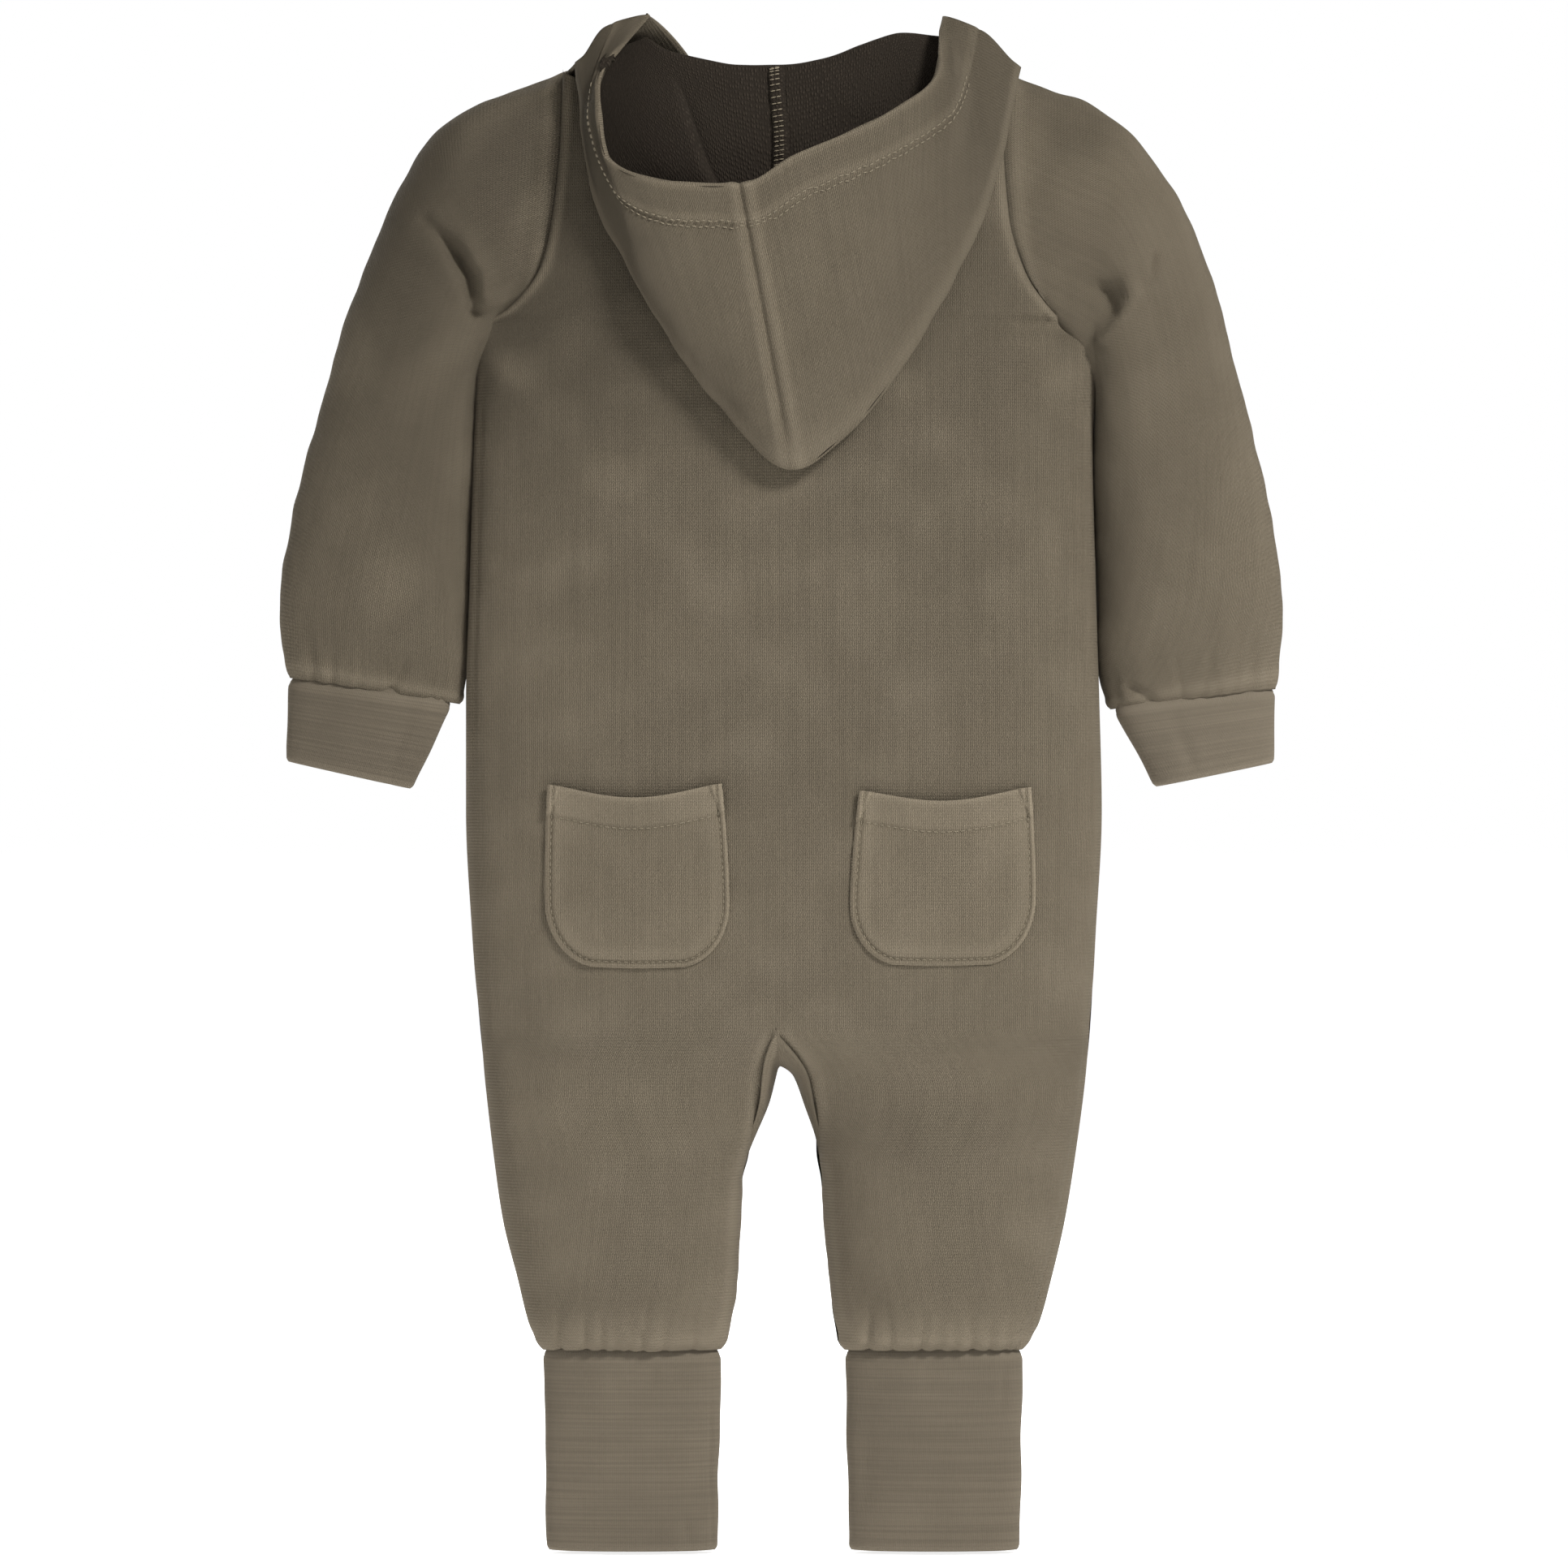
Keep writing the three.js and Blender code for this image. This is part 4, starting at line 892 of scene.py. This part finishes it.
hood_half_left, left_hood_grid, left_down = make_hood_half(True)
hood_half_right, right_hood_grid, right_down = make_hood_half(False)
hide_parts("hood_left", "hood_hem_left")
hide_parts("hood_right", "hood_hem_right")


def make_hood_front(left):
    """The part of the hood that stands round the side of the neck, to the top of the zip."""
    side = "left" if left else "right"
    hand = -1 if left else 1
    low = [HOOD_FOLD[0 if left else 8], (hand * 88, -12, 599), (hand * 90.5, 4, 598), (hand * 90, 13, 593),
           (hand * 87, 20, 582), (hand * 80, 24.5, 574.5), (hand * 63, 28.6, 565), (hand * 38, 31, 559),
           (hand * 8, 31.8, 557)]
    if left:
        high = [HOOD_RIM[0], (-49, -10, 619), (-42, 4, 612), (-35, 18, 604), (-27, 29, 594), (-18, 34, 585),
                (-8, 36, 575)]
    else:
        high = [HOOD_RIM[8], (64, -8, 616), (62, 6, 609), (57, 20, 600), (47, 30, 591), (30, 35, 582),
                (8, 36, 574)]
    low_places = [0, 0.08, 0.17, 0.24, 0.32, 0.41, 0.56, 0.76, 1.0]
    high_places = [0, 0.09, 0.22, 0.36, 0.52, 0.74, 1.0]
    u = np.linspace(0, 1, 90)
    v = np.linspace(0, 1, 26)
    lower, upper = path3(low_places, low)(u), path3(high_places, high)(u)
    bulge = np.sin(v * math.pi) * 2.2
    grid = lower[:, None] + (upper - lower)[:, None] * v[None, :, None]
    out = np.stack([grid[..., 0] * 0.6, grid[..., 1], 0 * grid[..., 0]], axis=-1)
    out /= np.maximum(np.linalg.norm(out, axis=-1, keepdims=True), 1e-6)
    grid = grid + out * bulge[None, :, None]
    end = path3(HOOD_PLACES, hood_surface(np.array([0.0 if left else 8.0]))[:, 0])(0.52 + 0.48 * v)
    joined = ramp(0.22, 0.0, u)[:, None, None]
    grid = grid * (1 - joined) + (end[None] + (u * 30)[:, None, None] * np.array([0, 1.0, 0])) * joined
    if not left:
        grid = grid[::-1]
    grid = grid[::-1]
    grid = grid + normals_of(grid) * (0.3 * waves(grid[..., 0], grid[..., 2], 71, 7, 40))[..., None]
    wear = np.broadcast_to(0.5 * np.exp(-((v - 1) * 18 / 2.0) ** 2), grid.shape[:2])
    piece = lay_cloth(f"hood_front_cloth_{side}", grid, flat_of(grid), wear, TERRY)
    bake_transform(piece)
    declare_cloth(grid)
    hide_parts(f"hood_front_{side}")


make_hood_front(True)
make_hood_front(False)


# ---- pockets -------------------------------------------------------------------------------------------
POCKETS = {
    True: dict(top=(-95.2, -24.6, 310.8, 311.2), bottom=(-95.4, -21.4, 236.3), dip=5.4),
    False: dict(top=(30.4, 100.2, 308.4, 309.8), bottom=(26.2, 101.4, 237.2), dip=4.8),
}
CORNER = (22.0, 28.0)       # width and height of each rounded bottom corner
FOOT = 0.006                # where the flat foot of a pocket starts, as a share of its height
HEM_ROW = 12.6              # from the top edge of a pocket down to its hem stitching
EDGE_ROW = 2.5              # from the side of a pocket in to its topstitching


def back_depth(x, z):
    """Distance of the plain back behind the middle plane."""
    half = np.where(x < CENTRE, CENTRE - LEFT_SIDE(z), RIGHT_SIDE(z) - CENTRE)
    w = np.clip(np.abs(x - CENTRE) / half, 0, 0.999)
    return MIDDLE(z) * swell(w)


def pocket_top(left, u):
    p = POCKETS[left]["top"]
    return p[2] + (p[3] - p[2]) * u - POCKETS[left]["dip"] * np.sin(np.clip(u, 0, 1) * math.pi) ** 1.3


def pocket_point(left, u, v):
    """Place on a pocket: u from left to right, v from the rounded bottom (0) to its dipping top (1)."""
    p = POCKETS[left]
    tall = (p["top"][2] - p["bottom"][2]) * v
    inset = CORNER[0] * (1 - np.sqrt(np.clip(1 - np.clip(1 - tall / CORNER[1], 0, 1) ** 2.2, 0, 1)))
    flare = np.sin(np.clip(v, 0, 1) * math.pi) * 1.2
    low = p["bottom"][0] + (p["top"][0] - p["bottom"][0]) * v + inset - flare
    high = p["bottom"][1] + (p["top"][1] - p["bottom"][1]) * v - inset + flare
    z_low = p["bottom"][2] + 0.6 * (1 - np.sin(u * math.pi))
    return low + (high - low) * u, z_low + (pocket_top(left, u) - z_low) * v


def pocket_edge(left):
    """The sewn edge of a pocket: down its left side, round the bottom and up its right side."""
    drop = 1 - (1 - FOOT) * steps(46, 1.0)
    x, z = pocket_point(left, np.zeros(47), drop)
    down = list(zip(x, z))
    x, z = pocket_point(left, np.linspace(0, 1, 16)[1:-1], np.full(14, FOOT))
    along = list(zip(x, z))
    x, z = pocket_point(left, np.ones(47), drop[::-1])
    return down + along + list(zip(x, z))


def corner_tab(gap, hem):
    """1 on the folded tab at each top corner of a pocket, which narrows towards the hem stitching."""
    return ramp(5.4, 4.6, gap + 0.28 * hem) * ramp(HEM_ROW - 0.5, HEM_ROW - 1.5, hem)


def pocket_face(left, x, z):
    """How far behind the middle plane the outside of a pocket lies, and its distances to both edges."""
    p = POCKETS[left]["top"]
    gap, _ = distance(x, z, pocket_edge(left))
    share = (x - p[0]) / (p[1] - p[0])
    hem = pocket_top(left, share) - z
    lift = 2.1 - 1.3 * np.exp(-(gap / 0.7) ** 2) - 0.95 * np.exp(-((gap - EDGE_ROW) / 0.65) ** 2)
    lift += 0.6 * ramp(HEM_ROW + 1, HEM_ROW - 0.4, hem) - 0.9 * np.exp(-((hem - HEM_ROW) / 0.7) ** 2)
    lift += 1.6 * ramp(40, 0, hem) * ramp(0, 26, gap)
    lift += 0.3 * waves(x, z, 81 + left, 8, 38) * ramp(0, 12, gap)
    lift += corner_tab(gap, hem)
    return back_depth(x, z) + folds(x, z) + 0.35 * waves(x, z, 3, 9, 60, 1.6) + lift, gap, hem


def make_pocket(left):
    side = "left" if left else "right"
    u, v = np.meshgrid(steps(104, 0.5), FOOT + (1 - FOOT) * steps(100, 0.8), indexing="ij")
    x, z = pocket_point(left, u, v)
    depth, gap, hem = pocket_face(left, x, z)
    grid = np.stack([x, -depth, z], axis=-1)
    wear = 0.55 * np.exp(-(gap / 1.5) ** 2) + 0.55 * np.exp(-(hem / 1.6) ** 2)
    wear += 0.22 * ramp(HEM_ROW, HEM_ROW - 2, hem) + 0.25 * np.exp(-((gap - 5.5) / 3.0) ** 2)
    wear += 0.30 * corner_tab(gap, hem)
    wear += 0.10 * np.clip(waves(x, z, 91, 8, 30), 0, 2) - 0.2 * np.exp(-((gap - EDGE_ROW) / 0.6) ** 2)
    flat = np.stack([x, z], axis=-1) * MM
    piece = lay_cloth(f"pocket_{side}", grid, flat, np.clip(wear, 0, 0.8), POCKET_TERRY)
    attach(piece, "torso")
    declare_cloth(grid)
    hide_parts(f"{side}_pocket")


make_pocket(True)
make_pocket(False)


# ---- sewing ----------------------------------------------------------------------------------------------
def sew(name, lines, length, gap, thick):
    """Straight stitches along lines of points, each a small capsule sunk half into the cloth behind it."""
    outward = Vector((0, -1, 0))
    bm = bmesh.new()
    for line in lines:
        line = np.asarray(line, float)
        run = np.concatenate([[0], np.cumsum(np.linalg.norm(np.diff(line, axis=0), axis=1))])
        for start in np.arange(gap, run[-1] - length, length + gap):
            ends = (start, start + length)
            a, b = [Vector([np.interp(d, run, line[:, k]) for k in range(3)]) for d in ends]
            middle = (a + b) / 2 + outward * thick * 0.25
            turn = (b - a).to_track_quat("Z", "Y").to_matrix().to_4x4()
            made = bmesh.ops.create_uvsphere(bm, u_segments=6, v_segments=4, radius=thick * 0.5 * MM)
            for vert in made["verts"]:
                vert.co.z *= (b - a).length / thick
            bmesh.ops.transform(bm, matrix=turn, verts=made["verts"])
            bmesh.ops.translate(bm, vec=middle * MM, verts=made["verts"])
    for face in bm.faces:
        face.smooth = True
    mesh = bpy.data.meshes.new(name)
    bm.to_mesh(mesh)
    bm.free()
    mesh.materials.append(SEWING)
    piece = bpy.data.objects.new(name, mesh)
    bpy.context.scene.collection.objects.link(piece)
    return piece


def pocket_rows(left):
    """The lines a pocket is stitched along: its sewn edge, its hem, and the two corner tabs."""
    edge = np.array(pocket_edge(left))
    along = np.gradient(edge, axis=0)
    along /= np.maximum(np.linalg.norm(along, axis=1, keepdims=True), 1e-6)
    inward = edge + np.stack([-along[:, 1], along[:, 0]], axis=1) * EDGE_ROW
    p = POCKETS[left]["top"]
    u = np.linspace(0.03, 0.97, 60)
    hem = np.stack([p[0] + (p[1] - p[0]) * u, pocket_top(left, u) - HEM_ROW], axis=1)
    lines = [inward[2:-2], hem]
    for corner, turn in ((p[0], 1), (p[1], -1)):
        top = pocket_top(left, 0.02)
        lines.append(np.array([(corner + turn * 4.6, top - 2.0), (corner + turn * 1.6, top - HEM_ROW)]))
        lines.append(np.array([(corner + turn * 1.4, top - 1.6), (corner + turn * 1.2, top - HEM_ROW)]))
    placed = []
    for line in lines:
        depth, _, _ = pocket_face(left, line[:, 0], line[:, 1])
        placed.append(np.stack([line[:, 0], -depth - 0.1, line[:, 1]], axis=1))
    return placed


for side in ("left", "right"):
    rows = pocket_rows(side == "left")
    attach(sew(f"pocket_topstitch_{side}", rows, length=2.0, gap=0.75, thick=0.55), "torso")


def below_hood_rim(grid, down, drop):
    """A line over the outside of a hood half, at the same drop below the rim."""
    half = grid.shape[1] // 3
    line = [grid[c, half + int(np.argmin(np.abs(down[c, half:] - drop)))] for c in range(grid.shape[0])]
    return np.array(line) - np.array([0, 0.25, 0])


for side, grid, down in (("left", left_hood_grid, left_down), ("right", right_hood_grid, right_down)):
    keep = slice(12, 106) if side == "left" else slice(4, 98)
    rows = [below_hood_rim(grid, down, drop)[keep] for drop in (15.4, 17.8)]
    piece = sew(f"hood_coverstitch_{side}", rows, length=2.0, gap=0.8, thick=0.5)
    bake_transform(piece)


def make_hood_seam():
    """The centre seam of the hood: its overlocked allowance on the inside, and the thread over it."""
    middle = path3(HOOD_PLACES, hood_surface(np.array([4.0]))[:, 0])
    s = np.linspace(0.02, 0.5, 120)
    s = s[s < 0.47]
    across = np.linspace(-1, 1, 13)
    half = 2.6 * ramp(0.0, 0.05, s)
    lift = 1.4 + 1.1 * np.sqrt(np.clip(1 - across ** 2, 0, 1))
    lean = 0.5 * np.sin(s * 40)
    strip = np.broadcast_to(middle(s), (len(across), len(s), 3)).copy()
    strip[..., 1] -= lift[:, None] + 0.25 * np.sin(s * 260)[None]
    strip[..., 0] += across[:, None] * half[None] + lean[None]
    piece = lay_cloth("hood_overlock", strip, flat_of(strip), np.full(strip.shape[:2], 0.15), INSIDE_TERRY_IN_SHADE,
                      0.8)
    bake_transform(piece)
    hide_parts("hood_centre_seam")
    rungs = []
    reach = np.linspace(0.03, 0.46, 62)
    at = middle(reach)
    for place, turn in zip(at, np.sin(reach * 40) * 0.5):
        rungs.append([place + np.array([turn - 2.8, -3.0, -0.5]), place + np.array([turn, -3.9, 0.0]),
                      place + np.array([turn + 2.8, -3.0, 0.5])])
    loops = sew("hood_overlock_thread", rungs, length=2.2, gap=0.1, thick=0.55)
    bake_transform(loops)


make_hood_seam()


# ---- zip and small parts ---------------------------------------------------------------------------------
def plain_material(name, colour, roughness, metallic=0.0, grain=0.0):
    m = Shader(name, roughness, 0.0, 0.5)
    m.surface.inputs["Metallic"].default_value = metallic
    place = m.object_place()
    spots = m.noise(place, 260.0, 3.0)
    shade = m.blend(m.span(spots, 0.3, 0.7, 0.0, 1.0), shaded(colour, 0.82), shaded(colour, 1.12))
    return m.finish(shade, m.noise(place, 1400.0, 2.0), grain)


METAL = plain_material("brushed_zip_metal", (0.33, 0.31, 0.27), 0.34, 1.0, 0.00004)
TAPE = plain_material("woven_zip_tape", (0.135, 0.113, 0.082), 0.9, 0.0, 0.00015)
LABEL = plain_material("plain_satin_label", (0.62, 0.6, 0.55), 0.6, 0.0, 0.00008)
FINISHES = {
    "zip_chain": METAL, "zip_slider": METAL, "zip_pull": METAL, "zip_top_stop_left": METAL,
    "zip_top_stop_right": METAL, "zip_bottom_stop": METAL, "zip_tape_left": TAPE, "zip_tape_right": TAPE,
    "zip_guard": TAPE, "neck_tape": TAPE, "hanger_loop": TAPE, "care_label": LABEL,
}
for node, finish in FINISHES.items():
    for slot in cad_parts[node].material_slots:
        slot.material = finish


# ---- floor, light and camera -------------------------------------------------------------------------------
MIDDLE_OF_SUIT = (0, 0, 0.31)


def make_floor():
    mesh = bpy.data.meshes.new("floor")
    bm = bmesh.new()
    bmesh.ops.create_grid(bm, x_segments=1, y_segments=1, size=30)
    bm.to_mesh(mesh)
    bm.free()
    material = bpy.data.materials.new("white_floor")
    material.use_nodes = True
    sockets = material.node_tree.nodes["Principled BSDF"].inputs
    sockets["Base Color"].default_value = (0.9, 0.9, 0.9, 1)
    sockets["Roughness"].default_value = 1.0
    sockets["Emission Color"].default_value = (1, 1, 1, 1)
    sockets["Emission Strength"].default_value = 0.8
    mesh.materials.append(material)
    floor = bpy.data.objects.new("floor", mesh)
    floor.location = (0, 0, -0.0015)
    bpy.context.scene.collection.objects.link(floor)


def add_light(name, place, energy, size):
    lamp = bpy.data.lights.new(name, "AREA")
    lamp.energy = energy
    lamp.size = size
    light = bpy.data.objects.new(name, lamp)
    light.location = place
    light.rotation_euler = (Vector(MIDDLE_OF_SUIT) - Vector(place)).to_track_quat("-Z", "Y").to_euler()
    bpy.context.scene.collection.objects.link(light)


make_floor()
add_light("key", (1.3, -1.5, 1.9), 84, 0.5)
add_light("fill", (-1.6, -1.8, 0.6), 9, 1.6)
add_light("front_key", (-1.1, 1.6, 1.6), 44, 1.2)
world = bpy.data.worlds.new("white_room")
world.use_nodes = True
tree = world.node_tree
seen = tree.nodes.new("ShaderNodeLightPath")
strength = tree.nodes.new("ShaderNodeMapRange")
strength.inputs["To Min"].default_value = 0.24
strength.inputs["To Max"].default_value = 1.0
tree.links.new(seen.outputs["Is Camera Ray"], strength.inputs["Value"])
tree.links.new(strength.outputs[0], tree.nodes["Background"].inputs["Strength"])
tree.nodes["Background"].inputs["Color"].default_value = (1, 1, 1, 1)
bpy.context.scene.world = world

camera = bpy.data.cameras.new("camera")
camera.lens = 169.4
camera.sensor_width = 36
camera.clip_end = 100
eye = bpy.data.objects.new("camera", camera)
eye.location = (0.0003, -3.0, 0.311)
eye.rotation_euler = (math.pi / 2, 0, 0)
bpy.context.scene.collection.objects.link(eye)
bpy.context.scene.camera = eye
bpy.context.scene.view_settings.view_transform = "Standard"
